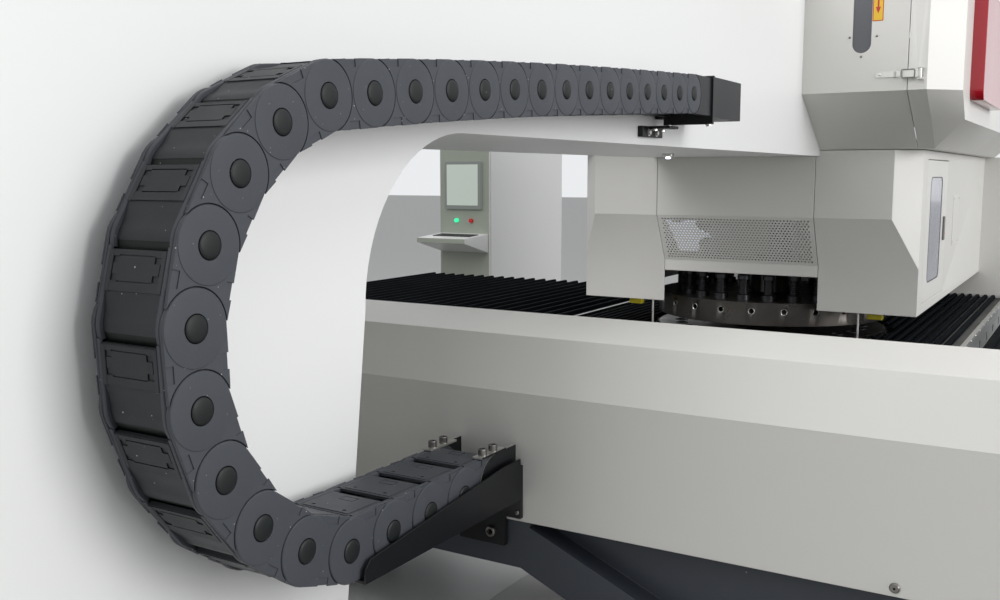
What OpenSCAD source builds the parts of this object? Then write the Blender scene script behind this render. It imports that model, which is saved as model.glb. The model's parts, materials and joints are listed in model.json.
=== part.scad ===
// Numerically controlled turret punch press with a closed frame and a travelling X beam.
// X runs along the beam, +Y to the rear column, +Z up. Millimetres.
// The origin is on the floor, straight below the punching station.

/* [Main frame] */
// Width over the two side plates
frame_w = 606; // [560:1:700]
// Thickness of a side plate
plate_t = 36; // [20:1:50]
// Thickness of the inner webs of the frame
web_t = 30; // [16:1:40]
// Front face of the frame
frame_front = -1750; // [-1900:1:-1700]
// Rear face of the frame
frame_rear = 3500; // [3400:1:3900]
// Height of the frame
frame_h = 2200; // [2150:1:2400]
// Rear edge of the throat, at the level of the sill
throat_rear = 2712; // [2700:1:2760]
// Slope of the throat's rear edge from upright, in degrees
throat_slope = 7; // [4:0.5:9]
// Front edge of the throat
throat_front = -1150; // [-1250:1:-1100]
// Height of the sill below the throat
sill_z = 840; // [820:1:850]
// Height of the soffit above the throat
soffit_z = 1619; // [1600:1:1640]
// Radius of the throat's upper rear corner
throat_r = 247; // [150:1:300]
// Height of the levelling feet, one of which stands below the punching station
foot_h = 40; // [30:1:60]
// Radius of a levelling foot
foot_r = 60; // [40:1:80]

/* [Base wings] */
// Distance from the centre to the outside of a wing
wing_x = 718; // [700:1:740]
// Front end of a wing
wing_front = 330; // [300:1:360]
// Rear end of a wing
wing_rear = 2640; // [2600:1:2700]
// Distance of a Y rail from the centre
rail_x = 560; // [520:1:600]
// Width of a Y rail
rail_w = 40; // [30:1:45]
// Height of a Y rail
rail_h = 30; // [20:1:34]

/* [Tables] */
// Height of the work surface
table_z = 960; // [955:1:963]
// Half width of the fixed centre table
table_x = 764; // [740:1:780]
// Rear edge of the centre table
table_rear = 250; // [200:1:280]
// Front edge of the centre table
table_front = -1836; // [-1900:1:-1800]
// Height of the brush strips
brush_h = 15; // [8:1:20]
// Width of a brush strip
brush_w = 19; // [10:1:24]
// Distance from one brush strip to the next
brush_pitch = 35; // [30:1:60]
// Thickness of the table plate
table_t = 20; // [12:1:30]
// Outer edge of a travelling side table
side_table_x = 2450; // [2300:1:2600]
// Gap between the centre table and a side table
side_gap = 46; // [30:1:80]
// Front edge of the side tables with the beam at the rear
side_front = -1400; // [-1500:1:-1300]
// Rear edge of the side tables
side_rear = 1960; // [1900:1:1970]

/* [Turrets] */
// Radius of both turrets
turret_r = 445; // [430:1:450]
// Radius of the circle of stations, which puts one of them below the ram
station_r = 356; // [346:1:366]
// Number of stations
stations = 24; // [16:1:24]
// Radius of a tool bore
bore_r = 26; // [20:0.5:28]
// Underside of the upper turret
upper_z = 1004; // [1000:1:1010]
// Thickness of the upper turret
upper_t = 84; // [70:1:90]
// Thickness of the lower turret
lower_t = 70; // [60:1:80]
// Depth of the lower turret's face below the work surface
lower_drop = 4; // [2:0.5:8]
// Radius of a turret's shaft
shaft_r = 80; // [60:1:95]
// Running clearance of shafts and guides
run_gap = 0.3; // [0.2:0.05:0.5]
// Height of a punch above its turret
punch_head = 96; // [80:1:100]
// Radius of the holes in a turret's rim
rim_hole_r = 12; // [6:0.5:14]

/* [Ram] */
// Radius of the ram
ram_r = 45; // [35:1:50]
// Stroke of the ram
ram_stroke = 40; // [30:1:45]
// Length of the ram
ram_len = 420; // [400:1:440]
// Half width of the ram's guide
guide_x = 110; // [100:1:120]
// Rear face of the ram's guide
guide_rear = 60; // [52:1:62]
// Height of the ram's guide
guide_h = 260; // [240:1:280]

/* [X beam] */
// Rear face of the beam's cover
beam_rear = 2453; // [2440:1:2460]
// Front edge of the beam's cover
beam_front = 2181; // [2170:1:2190]
// Top of the beam's cover
beam_top = 1315; // [1300:1:1330]
// Lower edge of the cover's rear panel
cover_low = 1040; // [1036:1:1060]
// Crease between the rear panel and the slanted strip
cover_crease = 1236; // [1200:1:1250]
// Depth of the slanted strip
cover_slant = 40; // [20:1:60]
// Half length of the beam
beam_x = 2300; // [2200:1:2400]
// Thickness of the cover's sheet
sheet_t = 3; // [2:0.5:4]
// Underside of the casting inside the throat
cast_low = 966; // [964:1:980]
// Underside of the casting outside the throat
cast_deep = 700; // [660:1:760]
// Half width of the casting's shallow middle
cast_mid_x = 434; // [420:1:450]
// Slope of the casting's underside, in degrees
cast_slope = 23.4; // [22:0.1:24]
// Width of the casting's rim
cast_rim = 66; // [50:1:80]
// Depth of the dished panel in the casting
cast_dish = 40; // [20:1:60]
// Radius of the Y screw
screw_r = 25; // [20:1:30]

/* [Carriage] */
// Half width of the carriage
carriage_x = 620; // [580:1:660]
// Front face of the carriage plate
carriage_front = 2112; // [2105:1:2118]
// Distance between two clamps
clamp_pitch = 450; // [400:1:480]
// Reach of a clamp from the carriage plate
clamp_reach = 110; // [90:1:120]
// Width of a clamp
clamp_w = 90; // [70:1:110]
// Opening of a clamp's mouth
mouth = 9; // [6:0.5:12]

/* [Drag chain] */
// Pitch of a chain link
link_pitch = 80; // [78:0.5:84]
// Height of a chain link
link_h = 78; // [70:0.5:78]
// Width of the chain
chain_w = 102; // [90:1:110]
// Gap between the chain and the frame's side plate
chain_gap = 27; // [20:1:32]
// Place of the first pivot along Y
chain_y = 1746; // [1735:1:1750]
// Height of the first pivot
chain_z = 1717.5; // [1712:0.5:1724]
// Number of links in the upper run
run_links = 14; // [14:1:15]
// Number of links in the loop
loop_links = 10; // [10:1:10]
// Number of links in the lower run
low_links = 3; // [2:1:3]
// Thickness of one layer of a link's side
layer_t = 6; // [4:0.5:7]
// Radius of a pivot's cap
cap_r = 13.5; // [10:0.5:15]
// Distance from the first pivot to the chain's upper end plate
end_gap = 102; // [60:1:110]

/* [Hood] */
// Half width of the hood at its sides
hood_x = 625; // [610:1:640]
// Half width of the hood's middle panel
mid_x = 290; // [270:1:298]
// Rear face of the hood's upper part
hood_rear = 163; // [150:1:180]
// Rear face of the hood's lower part
hood_low_rear = 71; // [60:1:90]
// Height of the hood's lower edge
hood_low = 1073; // [1065:1:1090]
// Height of the hood's upper edge
hood_top = 1638; // [1634:1:1638]
// Crease where the hood's rear face starts to slant
hood_crease = 1407; // [1390:1:1420]
// Crease where the slant ends
hood_crease_low = 1233; // [1220:1:1245]
// Lower edge of the middle panel's lip
lip_low = 1192; // [1186:1:1200]
// Width of the upright chamfer at the hood's corners
hood_chamfer = 78; // [60:1:90]
// Thickness of hood and cover panels
panel_t = 4; // [3:0.5:6]

/* [Head covers] */
// Distance from the centre to a head cover's side face
head_x = 763; // [750:1:790]
// Rear face of the head covers
head_rear = 427; // [410:1:440]
// Lower edge of the head covers
head_low = 1640; // [1640:1:1645]
// Crease of the rear face
head_crease = 1810; // [1790:1:1830]
// Crease of the side face
head_side_crease = 1726; // [1700:1:1740]
// Top of the head covers
head_top = 2230; // [2200:1:2260]
// Distance of the seam beside the door from the centre
seam_x = 617; // [605:1:630]
// Width of the upright chamfer at a head cover's corner
head_chamfer = 90; // [60:1:110]
// Rear edge of a head cover's underside
head_low_rear = 163; // [150:1:200]
// Distance of the underside's outer edge from the centre
head_low_x = 668; // [640:1:690]
// Front end of the head covers' doors
door_front = -900; // [-950:1:-850]

/* [Console] */
// Distance of the control cabinet's near side from the centre
console_x = 2490; // [2470:1:2700]
// Face of the cabinet that carries the screen
console_y = -2209; // [-2400:1:-2200]
// Width of the cabinet
console_w = 405; // [380:1:460]
// Depth of the cabinet
console_d = 1080; // [700:1:1100]
// Height of the cabinet
console_h = 1800; // [1750:1:1900]
// Height of the keyboard shelf
shelf_z = 1130; // [1050:1:1150]
// Reach of the keyboard shelf
shelf_reach = 300; // [200:1:320]

/* [Hidden] */
$fn = 48;
far = 4000;

// Colours
white = [0.93, 0.93, 0.91];
grey = [0.74, 0.74, 0.70];
dark = [0.16, 0.18, 0.22];
black = [0.08, 0.08, 0.09];
steel = [0.55, 0.55, 0.55];
plastic = [0.22, 0.22, 0.25];

// Doors and windows of the hood
door_y0 = -534;
door_y1 = -20;
door_z0 = 1107;
door_z1 = 1608;
door_gap = 2;
window_y = [-393, -110];
window_z = [1172, 1548];
pull_y = [-463, -447];
pull_z = [1308, 1399];

// Throat and frame
half_w = frame_w / 2;
throat_tan = tan(throat_slope);
throat_top_y = throat_rear - (soffit_z - throat_r - sill_z) * throat_tan;
screw_z = sill_z + 46;
service = [360, 700];
service_z = 500;
chute_z = 240;
motor_y = beam_rear + 27;

// Turrets
turret_y = -station_r;
station_a = 360 / stations;
head_z = upper_z + upper_t + punch_head;
ram_low = head_z + ram_stroke + run_gap;
guide_low = ram_low + 40;

// Beam
cast_rear = beam_rear - sheet_t;
cast_front = beam_front + sheet_t;
cast_top = beam_top - sheet_t - 1;
ramp_x = cast_mid_x + (cast_low - cast_deep) / tan(cast_slope);
flat_x = 1500;
end_z = 1000;
dish_x = 2100;
x_rail_z = [1010, 1210];
x_rail_h = 30;
carriage_z = [985, 1285];
carriage_t = 25;
pin_z = 1012;
clamp_top = 1060;
sheet_z = table_z;

// Chain
chain_x1 = -half_w - chain_gap;
chain_x0 = chain_x1 - chain_w;
n_links = run_links + loop_links + low_links;
link_r = link_h / 2;
lid_t = 4;
run_slope = 3.07;
run_sag = 2.93;
loop_turn = 17.31;
function link_angle(i) = i < run_links ? run_slope + run_sag * pow(i / run_links, 2)
    : min(180, run_slope + run_sag + loop_turn * (i - run_links + 1));
link_y = [for (i = 0, y = chain_y; i <= n_links; y = y + link_pitch * cos(link_angle(i)), i = i + 1) y];
link_z = [for (i = 0, z = chain_z; i <= n_links; z = z - link_pitch * sin(link_angle(i)), i = i + 1) z];
low_z = link_z[n_links];

// A box given by its lowest and highest corners
module block(a, b) {
    translate(a)
        cube([b[0] - a[0], b[1] - a[1], b[2] - a[2]]);
}

// A flat shape given in Y and Z, extruded along X from x0 to x1
module along_x(x0, x1) {
    translate([x0, 0, 0])
        rotate([90, 0, 90])
            linear_extrude(x1 - x0)
                children();
}

// A flat shape given in X and Z, extruded along Y from y0 to y1
module along_y(y0, y1) {
    translate([0, y1, 0])
        rotate([90, 0, 0])
            linear_extrude(y1 - y0)
                children();
}

// The same thing on the other side of the machine
module other_side() {
    mirror([1, 0, 0])
        children();
}

module both_sides() {
    children();
    other_side()
        children();
}

// A cylinder along an axis from a point
module rod_x(x0, x1, y, z, r) {
    translate([x0, y, z])
        rotate([0, 90, 0])
            cylinder(h = x1 - x0, r = r);
}

module rod_y(x, y0, y1, z, r) {
    translate([x, y1, z])
        rotate([90, 0, 0])
            cylinder(h = y1 - y0, r = r);
}

module rod_z(x, y, z0, z1, r) {
    translate([x, y, z0])
        cylinder(h = z1 - z0, r = r);
}

// Outline of the throat in Y and Z, grown by a margin
module throat_outline(grow = 0) {
    union() {
        polygon([[throat_front - grow, sill_z - grow],
            [throat_rear + grow + grow * throat_tan, sill_z - grow],
            [throat_top_y + grow, soffit_z - throat_r],
            [throat_top_y - throat_r, soffit_z + grow],
            [throat_front - grow, soffit_z + grow]]);
        translate([throat_top_y - throat_r, soffit_z - throat_r])
            circle(r = throat_r + grow, $fn = 96);
    }
}

module frame_outline(inset = 0) {
    difference() {
        translate([frame_front + inset, foot_h + inset])
            square([frame_rear - frame_front - 2 * inset, frame_h - foot_h - 2 * inset]);
        throat_outline(inset);
    }
}

// Welded closed frame: two side plates, webs all round and a bearing seat for each turret
module main_frame() {
    color(white)
        difference() {
            union() {
                along_x(-half_w, half_w)
                    frame_outline();
                block([-60, wing_front + 50, sill_z - 1], [60, wing_front + 90, screw_z + 40]);
            }
            difference() {
                along_x(-half_w + plate_t, half_w - plate_t)
                    frame_outline(web_t);
                block([-half_w, -station_r - 150, 0], [half_w, 140, frame_h]);
            }
            for (y = [frame_front - 1, frame_rear - web_t - 1])
                translate([-service[0] / 2, y, service_z])
                    cube([service[0], web_t + 2, service[1]]);
            rod_y(0, wing_front + 49, wing_front + 91, screw_z, screw_r - 4 + run_gap);
            rod_z(0, turret_y, soffit_z - 1, soffit_z + 240, shaft_r + run_gap);
            rod_z(0, turret_y, sill_z - 200, sill_z + 1, shaft_r + run_gap);
            rod_z(0, 0, soffit_z - 1, frame_h - 60, ram_r + 45);
            rod_z(0, 0, chute_z, sill_z + 1, bore_r + 30);
            block([0, -bore_r - 30, chute_z], [half_w + 1, bore_r + 30, chute_z + 200]);
        }
}

// Boxes beside the frame that carry the two Y rails
module base_wings() {
    color(grey)
        both_sides()
            difference() {
                block([half_w, wing_front, foot_h], [wing_x, wing_rear, sill_z]);
                block([half_w + web_t, wing_front + web_t, foot_h - 1],
                    [wing_x - web_t, wing_rear - web_t, sill_z - web_t]);
            }
}

module levelling_feet() {
    feet = [frame_front + 150, -300, 900, 2200, frame_rear - 150];
    color(steel)
        both_sides()
            for (y = feet)
                rod_z(half_w - foot_r - 20, y, 0, foot_h, foot_r);
    color(steel)
        rod_z(0, 0, 0, foot_h, foot_r);
}

module y_rails() {
    color(steel)
        both_sides()
            block([rail_x - rail_w / 2, wing_front + 20, sill_z],
                [rail_x + rail_w / 2, wing_rear - 20, sill_z + rail_h]);
}

// Servo motor of the Y screw with its mounting bracket on the sill
module y_motor() {
    color(black)
        union() {
            block([-60, motor_y, sill_z], [60, motor_y + 20, screw_z + 60]);
            block([-55, motor_y + 20, screw_z - 45], [55, motor_y + 180, screw_z + 55]);
        }
}

// Ball screw that pushes the beam
module y_screw() {
    color(steel)
        union() {
            rod_y(0, wing_front + 92, motor_y - run_gap, screw_z, screw_r);
            rod_y(0, wing_front + 50, wing_front + 93, screw_z, screw_r - 4);
        }
}

// Fixed centre table
module centre_table() {
    z0 = table_z - brush_h - table_t;
    gussets = [table_front + 60, -1000, -300, 150];
    color(steel)
        difference() {
            union() {
                block([-table_x, table_front, z0], [table_x, table_rear, z0 + table_t]);
                both_sides() {
                    for (y = gussets)
                        block([half_w, y, sill_z - 60], [table_x - 40, y + 40, z0]);
                    block([table_x - 20, table_front, z0 - 70], [table_x, table_rear, z0]);
                }
            }
            block([-half_w, table_front - 1, sill_z - 100], [half_w, throat_front, table_z]);
            rod_z(0, turret_y, z0 - 100, table_z, turret_r + 8, $fn = 96);
            both_sides()
                for (y = [table_front + 180 : 260 : table_rear - 80])
                    block([table_x - 30, y, z0 - 48], [table_x + 1, y + 36, z0 - 16]);
        }
}

module centre_brushes() {
    z0 = table_z - brush_h;
    count = floor((table_x - 30) / brush_pitch);
    color(black)
        difference() {
            for (i = [-count : count])
                block([i * brush_pitch - brush_w / 2, table_front + 5, z0],
                    [i * brush_pitch + brush_w / 2, table_rear - 5, table_z]);
            rod_z(0, turret_y, z0 - 1, table_z + 1, turret_r + 12, $fn = 96);
            block([-half_w - 1, table_front - 1, z0 - 1], [half_w + 1, throat_front + 5, table_z + 1]);
        }
}

module table_edge_strips() {
    color(steel)
        both_sides()
            difference() {
                block([table_x - 16, table_front, table_z - brush_h], [table_x, table_rear, table_z]);
                for (y = [table_front + 60 : 150 : table_rear - 20])
                    rod_x(table_x - 6, table_x + 1, y, table_z - brush_h / 2, 3.5, $fn = 24);
            }
}

// Plan of the hood's near half at one height; rear and chamfer follow the height
module hood_plan(z, inset) {
    low = z <= hood_crease_low;
    rear = (low ? hood_low_rear : hood_rear) - inset;
    chamfer = low ? 0.01 : hood_chamfer;
    side = hood_x - inset;
    polygon([[-mid_x - 0.5, rear], [-side + chamfer, rear], [-side, hood_low_rear - inset],
        [-side, table_front + inset], [-mid_x - 0.5, table_front + inset]]);
}

module hood_slice(z0, z1, inset) {
    hull() {
        translate([0, 0, z0])
            linear_extrude(0.01)
                hood_plan(z0, inset);
        translate([0, 0, z1 - 0.01])
            linear_extrude(0.01)
                hood_plan(z1, inset);
    }
}

module hood_shell_block(inset, low, top) {
    hood_slice(low, hood_crease_low, inset);
    hood_slice(hood_crease_low, hood_crease, inset);
    hood_slice(hood_crease, top, inset);
}

module hood_half() {
    color(grey)
        difference() {
            hood_shell_block(0, hood_low, hood_top);
            hood_shell_block(panel_t, hood_low - 1, hood_top + 1);
            block([-mid_x - panel_t * 3, table_front - 1, hood_low - 1],
                [0, table_front + panel_t * 2, soffit_z]);
            block([-half_w - run_gap, table_front - 1, hood_low - 1], [0, throat_front + 1, hood_top + 1]);
            block([-half_w - run_gap, table_front - 1, soffit_z - run_gap],
                [0, hood_rear + 1, hood_top + 1]);
            block([-hood_x - 1, door_y0, door_z0], [-hood_x + panel_t + 1, door_y1, door_z1]);
        }
}

module hood_left() {
    hood_half();
}

module hood_right() {
    other_side()
        hood_half();
}

// Middle panel with its perforated slant and its short lip
module hood_middle() {
    x = mid_x - 1;
    color(grey)
        union() {
            block([-x, hood_rear - panel_t, hood_crease], [x, hood_rear, soffit_z - run_gap]);
            along_x(-x, x)
                polygon([[hood_rear, hood_crease], [hood_rear - panel_t, hood_crease],
                    [hood_low_rear - panel_t, hood_crease_low], [hood_low_rear, hood_crease_low]]);
            block([-x, hood_low_rear - panel_t, lip_low], [x, hood_low_rear, hood_crease_low]);
            both_sides()
                block([x - panel_t, hood_low_rear - 60, lip_low],
                    [x, hood_low_rear - panel_t, soffit_z - run_gap]);
        }
}

// Door in the hood's side, with a long window and a folded pull
module hood_door() {
    color(white)
        difference() {
            union() {
                block([-hood_x, door_y0 + door_gap, door_z0 + door_gap],
                    [-hood_x + panel_t - 1, door_y1 - run_gap, door_z1 - door_gap]);
                block([-hood_x - 8, pull_y[0], pull_z[0]], [-hood_x, pull_y[1], pull_z[1]]);
            }
            block([-hood_x - 1, window_y[0], window_z[0]], [-hood_x + panel_t, window_y[1], window_z[1]]);
        }
}

module hood_window() {
    color([0.3, 0.33, 0.36])
        block([-hood_x + 0.5, window_y[0], window_z[0]], [-hood_x + 2.5, window_y[1], window_z[1]]);
}

guard_t = 16;

// Tall guards at the front of the centre table
module front_guards() {
    color(grey)
        both_sides()
            block([-table_x, table_front - guard_t, table_z - 60],
                [-half_w - run_gap, table_front, head_low]);
}

// Plan of a head cover at one height
module head_plan(z, inset) {
    rear_f = min(1, max(0, (z - head_low) / (head_crease - head_low)));
    side_f = min(1, max(0, (z - head_low) / (head_side_crease - head_low)));
    rear = head_low_rear + (head_rear - head_low_rear) * rear_f - inset;
    side = head_low_x + (head_x - head_low_x) * side_f - inset;
    corner = side - head_chamfer * side_f - 0.01;
    polygon([[-half_w - run_gap, rear], [-corner, rear], [-side, rear - head_chamfer * rear_f - 0.01],
        [-side, table_front + inset], [-half_w - run_gap, table_front + inset]]);
}

module head_slice(z0, z1, inset) {
    hull() {
        translate([0, 0, z0])
            linear_extrude(0.01)
                head_plan(z0, inset);
        translate([0, 0, z1 - 0.01])
            linear_extrude(0.01)
                head_plan(z1, inset);
    }
}

module head_block(inset) {
    head_slice(head_low + inset, head_side_crease, inset);
    head_slice(head_side_crease, head_crease, inset);
    head_slice(head_crease, head_top - inset, inset);
}

module head_shell() {
    difference() {
        head_block(0);
        head_block(panel_t);
    }
}

slot_x = 480;
slot_w = 56;
slot_low = 1927;

// Fixed part of a head cover, from the frame to the seam
module head_cover() {
    color(grey)
        difference() {
            head_shell();
            block([-far, door_front, head_low - 1], [-seam_x, head_rear + 1, head_top + 1]);
            hull() {
                rod_y(-slot_x, head_rear - 30, head_rear + 1, slot_low + slot_w / 2, slot_w / 2);
                rod_y(-slot_x, head_rear - 30, head_rear + 1, head_top - 60, slot_w / 2);
            }
        }
}

module head_cover_left() {
    head_cover();
}

module head_cover_right() {
    other_side()
        head_cover();
}

// Corner and side of a head cover, which swing open as a door
module head_door() {
    color(white)
        intersection() {
            head_shell();
            block([-far, door_front + run_gap, head_low - 1], [-seam_x - 2, head_rear + 1, head_top + 1]);
        }
    color(steel)
        latch_ears();
}

module head_window() {
    y1 = head_rear - panel_t;
    color(black)
        hull() {
            rod_y(-slot_x, y1 - 3, y1, slot_low + slot_w / 2, slot_w / 2 + 12);
            rod_y(-slot_x, y1 - 3, y1, head_top - 60, slot_w / 2 + 12);
        }
}

latch_z = 1858;
badge_off = 40;

latch_x = seam_x + 38;
latch_y = head_rear + 11;

// Ears on the door that hold the lever's pin
module latch_ears() {
    for (z = [latch_z - 18, latch_z + 14.3])
        difference() {
            block([-latch_x - 8, head_rear - 1, z], [-latch_x + 8, latch_y + 7, z + 3.7]);
            rod_z(-latch_x, latch_y, z - 1, z + 5, 3);
        }
}

module latch_lever() {
    color(steel)
        union() {
            rod_z(-latch_x, latch_y, latch_z - 14, latch_z + 14, 5);
            rod_z(-latch_x, latch_y, latch_z - 18, latch_z + 18, 2.7);
            block([-latch_x, latch_y - 3, latch_z - 12], [-seam_x + 12, latch_y + 1, latch_z + 12]);
            block([-seam_x - 4, latch_y - 1, latch_z - 7], [-seam_x + 14, latch_y + 4, latch_z + 7]);
        }
}

module latch_keepers() {
    color(steel)
        both_sides()
            union() {
                block([-seam_x + 6, head_rear, latch_z - 9], [-seam_x + 92, head_rear + 2.5, latch_z + 9]);
                block([-seam_x + 34, head_rear + 2, latch_z - 9],
                    [-seam_x + 40, head_rear + 12, latch_z + 9]);
            }
}

// A rectangle with round corners
module rounded_plate(x0, x1, y0, y1, r) {
    union() {
        translate([x0 + r, y0])
            square([x1 - x0 - 2 * r, y1 - y0]);
        translate([x0, y0 + r])
            square([x1 - x0, y1 - y0 - 2 * r]);
        for (x = [x0 + r, x1 - r], y = [y0 + r, y1 - r])
            translate([x, y])
                circle(r = r);
    }
}

badge_front = -480;
badge_rear = 168;
badge_low = 1790;
badge_high = 2140;
badge_r = 34;

module badge_plate() {
    color([0.7, 0.05, 0.08])
        difference() {
            along_x(-head_x - badge_off, -head_x)
                rounded_plate(badge_front, badge_rear, badge_low, badge_high, badge_r);
            along_x(-head_x - badge_off + panel_t, -head_x + 1)
                rounded_plate(badge_front + panel_t, badge_rear - panel_t, badge_low + panel_t,
                    badge_high - panel_t, badge_r - panel_t);
        }
}

module arrow_plate() {
    color([0.9, 0.7, 0.1])
        block([-slot_x - 61, head_rear, 2020], [-slot_x - 29, head_rear + 0.6, 2160]);
}

// Hydraulic cylinder with the ram's guide below it
module ram_drive() {
    color(steel)
        difference() {
            union() {
                block([-guide_x, -guide_x, guide_low], [guide_x, guide_rear, soffit_z - run_gap]);
                rod_z(0, 0, soffit_z - 1, frame_h - 80, ram_r + 40);
            }
            rod_z(0, 0, guide_low - 1, guide_low + guide_h + 260, ram_r + run_gap);
        }
}

module ram() {
    color(steel)
        union() {
            rod_z(0, 0, ram_low + 20, ram_low + ram_len, ram_r);
            rod_z(0, 0, ram_low, ram_low + 21, ram_r - 12);
        }
}

// One thing at every station of the turret
module at_stations(skip = false) {
    for (i = [(skip ? 1 : 0) : stations - 1])
        translate([0, turret_y, 0])
            rotate([0, 0, 90 + i * station_a])
                translate([station_r, 0, 0])
                    children();
}

rim_hole_z = 52;

// Round holes in a turret's rim, one between every two stations
module rim_holes(z) {
    for (i = [0 : stations - 1])
        translate([0, turret_y, z])
            rotate([0, 0, (i + 0.5) * station_a])
                rod_x(turret_r - 40, turret_r + 1, 0, 0, rim_hole_r, $fn = 24);
}

module upper_turret() {
    color(steel)
        difference() {
            union() {
                rod_z(0, turret_y, upper_z, upper_z + upper_t, turret_r, $fn = 96);
                rod_z(0, turret_y, upper_z, soffit_z + 200, shaft_r);
            }
            at_stations()
                rod_z(0, 0, upper_z - 1, upper_z + upper_t + 1, bore_r);
            rim_holes(upper_z + rim_hole_z);
        }
}

module lower_turret() {
    top = table_z - lower_drop;
    color(steel)
        difference() {
            union() {
                rod_z(0, turret_y, top - lower_t, top, turret_r, $fn = 96);
                rod_z(0, turret_y, sill_z - 160, top, shaft_r);
            }
            at_stations()
                rod_z(0, 0, top - lower_t - 1, top + 1, bore_r);
            rim_holes(top - lower_t / 2);
        }
}

// A punch with its holder, spring pack and head
module punch() {
    r = bore_r - run_gap;
    z1 = upper_z + upper_t;
    union() {
        rod_z(0, 0, upper_z + 6, z1 + 20, r);
        rod_z(0, 0, upper_z + 1, upper_z + 7, r - 12);
        rod_z(0, 0, z1 + 19, z1 + punch_head - 18, r - 7);
        rod_z(0, 0, z1 + punch_head - 19, z1 + punch_head, r - 2);
    }
}

module punches() {
    color(black)
        at_stations(skip = true)
            punch();
}

module station_punch() {
    color(black)
        punch();
}

module dies() {
    top = table_z - lower_drop;
    color(steel)
        at_stations()
            difference() {
                rod_z(0, 0, top - 30, top + 2, bore_r - run_gap);
                rod_z(0, 0, top - 31, top + 3, bore_r - 9);
            }
}

drive_y = -660;
drive_z = soffit_z + 161;

// Motor that turns both turrets, on the frame's side plate
module turret_motor() {
    color(black)
        union() {
            block([half_w, drive_y - 100, drive_z - 100], [half_w + 20, drive_y + 100, drive_z + 100]);
            rod_x(half_w + 20, half_w + 220, drive_y, drive_z, 80);
        }
}

// Outline of the casting in X and Z
module cast_outline() {
    polygon([[-beam_x + 4, cast_top], [-beam_x + 4, end_z], [-flat_x, cast_deep],
        [-ramp_x, cast_deep], [-cast_mid_x, cast_low], [cast_mid_x, cast_low],
        [ramp_x, cast_deep], [flat_x, cast_deep], [beam_x - 4, end_z], [beam_x - 4, cast_top]]);
}

// Cast beam with dished panels, bearing blocks on the Y rails and the screw's nut
module beam_casting() {
    block_low = sill_z + rail_h + run_gap;
    pockets = [-1980, -1330, -680, 150, 800, 1450];
    hand_holes = [-1715, -1065, -415, 415, 1065, 1715];
    hole_z = 1126;
    color(dark)
        difference() {
            union() {
                difference() {
                    along_y(cast_front, cast_rear)
                        cast_outline();
                    block([-far, cast_rear - cover_slant - 12, cover_crease - 20],
                        [far, cast_rear + 1, cast_top + 1]);
                }
                both_sides()
                    block([rail_x - 45, cast_front, block_low], [rail_x + 45, cast_rear, cast_low]);
                block([-50, cast_front + 60, screw_z - 40], [50, cast_rear - 60, cast_low + 1]);
            }
            both_sides()
                along_y(cast_rear - cast_dish, cast_rear + 1)
                    polygon([[cast_mid_x + 15, cast_low + cast_rim], [cast_mid_x + 60, cover_low + 90],
                        [dish_x, cover_low + 90], [dish_x, end_z + 40], [flat_x - 20, cast_deep + cast_rim],
                        [ramp_x + 20, cast_deep + cast_rim]]);
            rod_y(0, cast_front - 1, cast_rear + 1, screw_z, screw_r + run_gap);
            for (x = pockets)
                block([x, cast_front + 30, cast_low + 40],
                    [x + 530, cast_rear - cast_dish - 40, cast_top - 30]);
            for (x = hand_holes)
                rod_y(x, cast_front - 1, cast_front + 31, hole_z, 45);
        }
}

// Folded cover over the top and rear of the beam
module beam_cover() {
    s = sheet_t;
    color(grey)
        union() {
            along_x(-beam_x, beam_x)
                polygon([[beam_rear, cover_low], [beam_rear, cover_crease],
                    [beam_rear - cover_slant, beam_top], [beam_front, beam_top],
                    [beam_front, beam_top - 60], [beam_front + s, beam_top - 60],
                    [beam_front + s, beam_top - s], [beam_rear - cover_slant - s, beam_top - s],
                    [beam_rear - s, cover_crease - s], [beam_rear - s, cover_low]]);
            both_sides()
                along_x(beam_x - s, beam_x)
                    polygon([[beam_rear - s, cover_low], [beam_rear - s, cover_crease],
                        [beam_rear - cover_slant, beam_top - s], [beam_front, beam_top - s],
                        [beam_front, cover_low]]);
        }
}

// Travelling side table: plate, brush strips and the arms that hold it to the beam
module side_table() {
    x0 = table_x + side_gap;
    z0 = table_z - brush_h - table_t;
    rows = floor((side_table_x - x0 - 40) / (2 * brush_pitch));
    color(black)
        union() {
            block([x0, side_front, z0], [side_table_x, side_rear, z0 + table_t]);
            for (i = [0 : rows])
                block([x0 + 20 + 2 * i * brush_pitch, side_front + 10, z0 + table_t],
                    [x0 + 20 + 2 * i * brush_pitch + brush_w, side_rear - 10, table_z]);
            for (x = [x0 + 120, side_table_x - 240])
                block([x, side_front + 200, z0 - 90], [x + 60, cast_front, z0]);
        }
}

pinion_r = 30;
pinion_z = 1150;
rack_z = pinion_z + pinion_r + run_gap;

module x_rails() {
    color(steel)
        for (z = x_rail_z)
            block([-beam_x + 60, beam_front - 28, z], [beam_x - 60, cast_front, z + x_rail_h]);
    color(steel)
        block([-beam_x + 60, carriage_front + 30, rack_z], [beam_x - 60, cast_front, rack_z + 20]);
}

// Plate that runs along the beam and carries the clamps
module carriage() {
    color(dark)
        union() {
            difference() {
                block([-carriage_x, carriage_front, carriage_z[0]],
                    [carriage_x, carriage_front + carriage_t, carriage_z[1]]);
                rod_y(0, carriage_front - 1, carriage_front + carriage_t + 1, pinion_z, 12 + run_gap);
            }
            for (x = [-carriage_x + 30, carriage_x - 130], z = x_rail_z)
                difference() {
                    block([x, carriage_front + carriage_t, z - 7], [x + 100, beam_front - 4, z + 47]);
                    block([x - 1, beam_front - 28 - run_gap, z - run_gap],
                        [x + 101, beam_front, z + x_rail_h + run_gap]);
                }
        }
}

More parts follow.
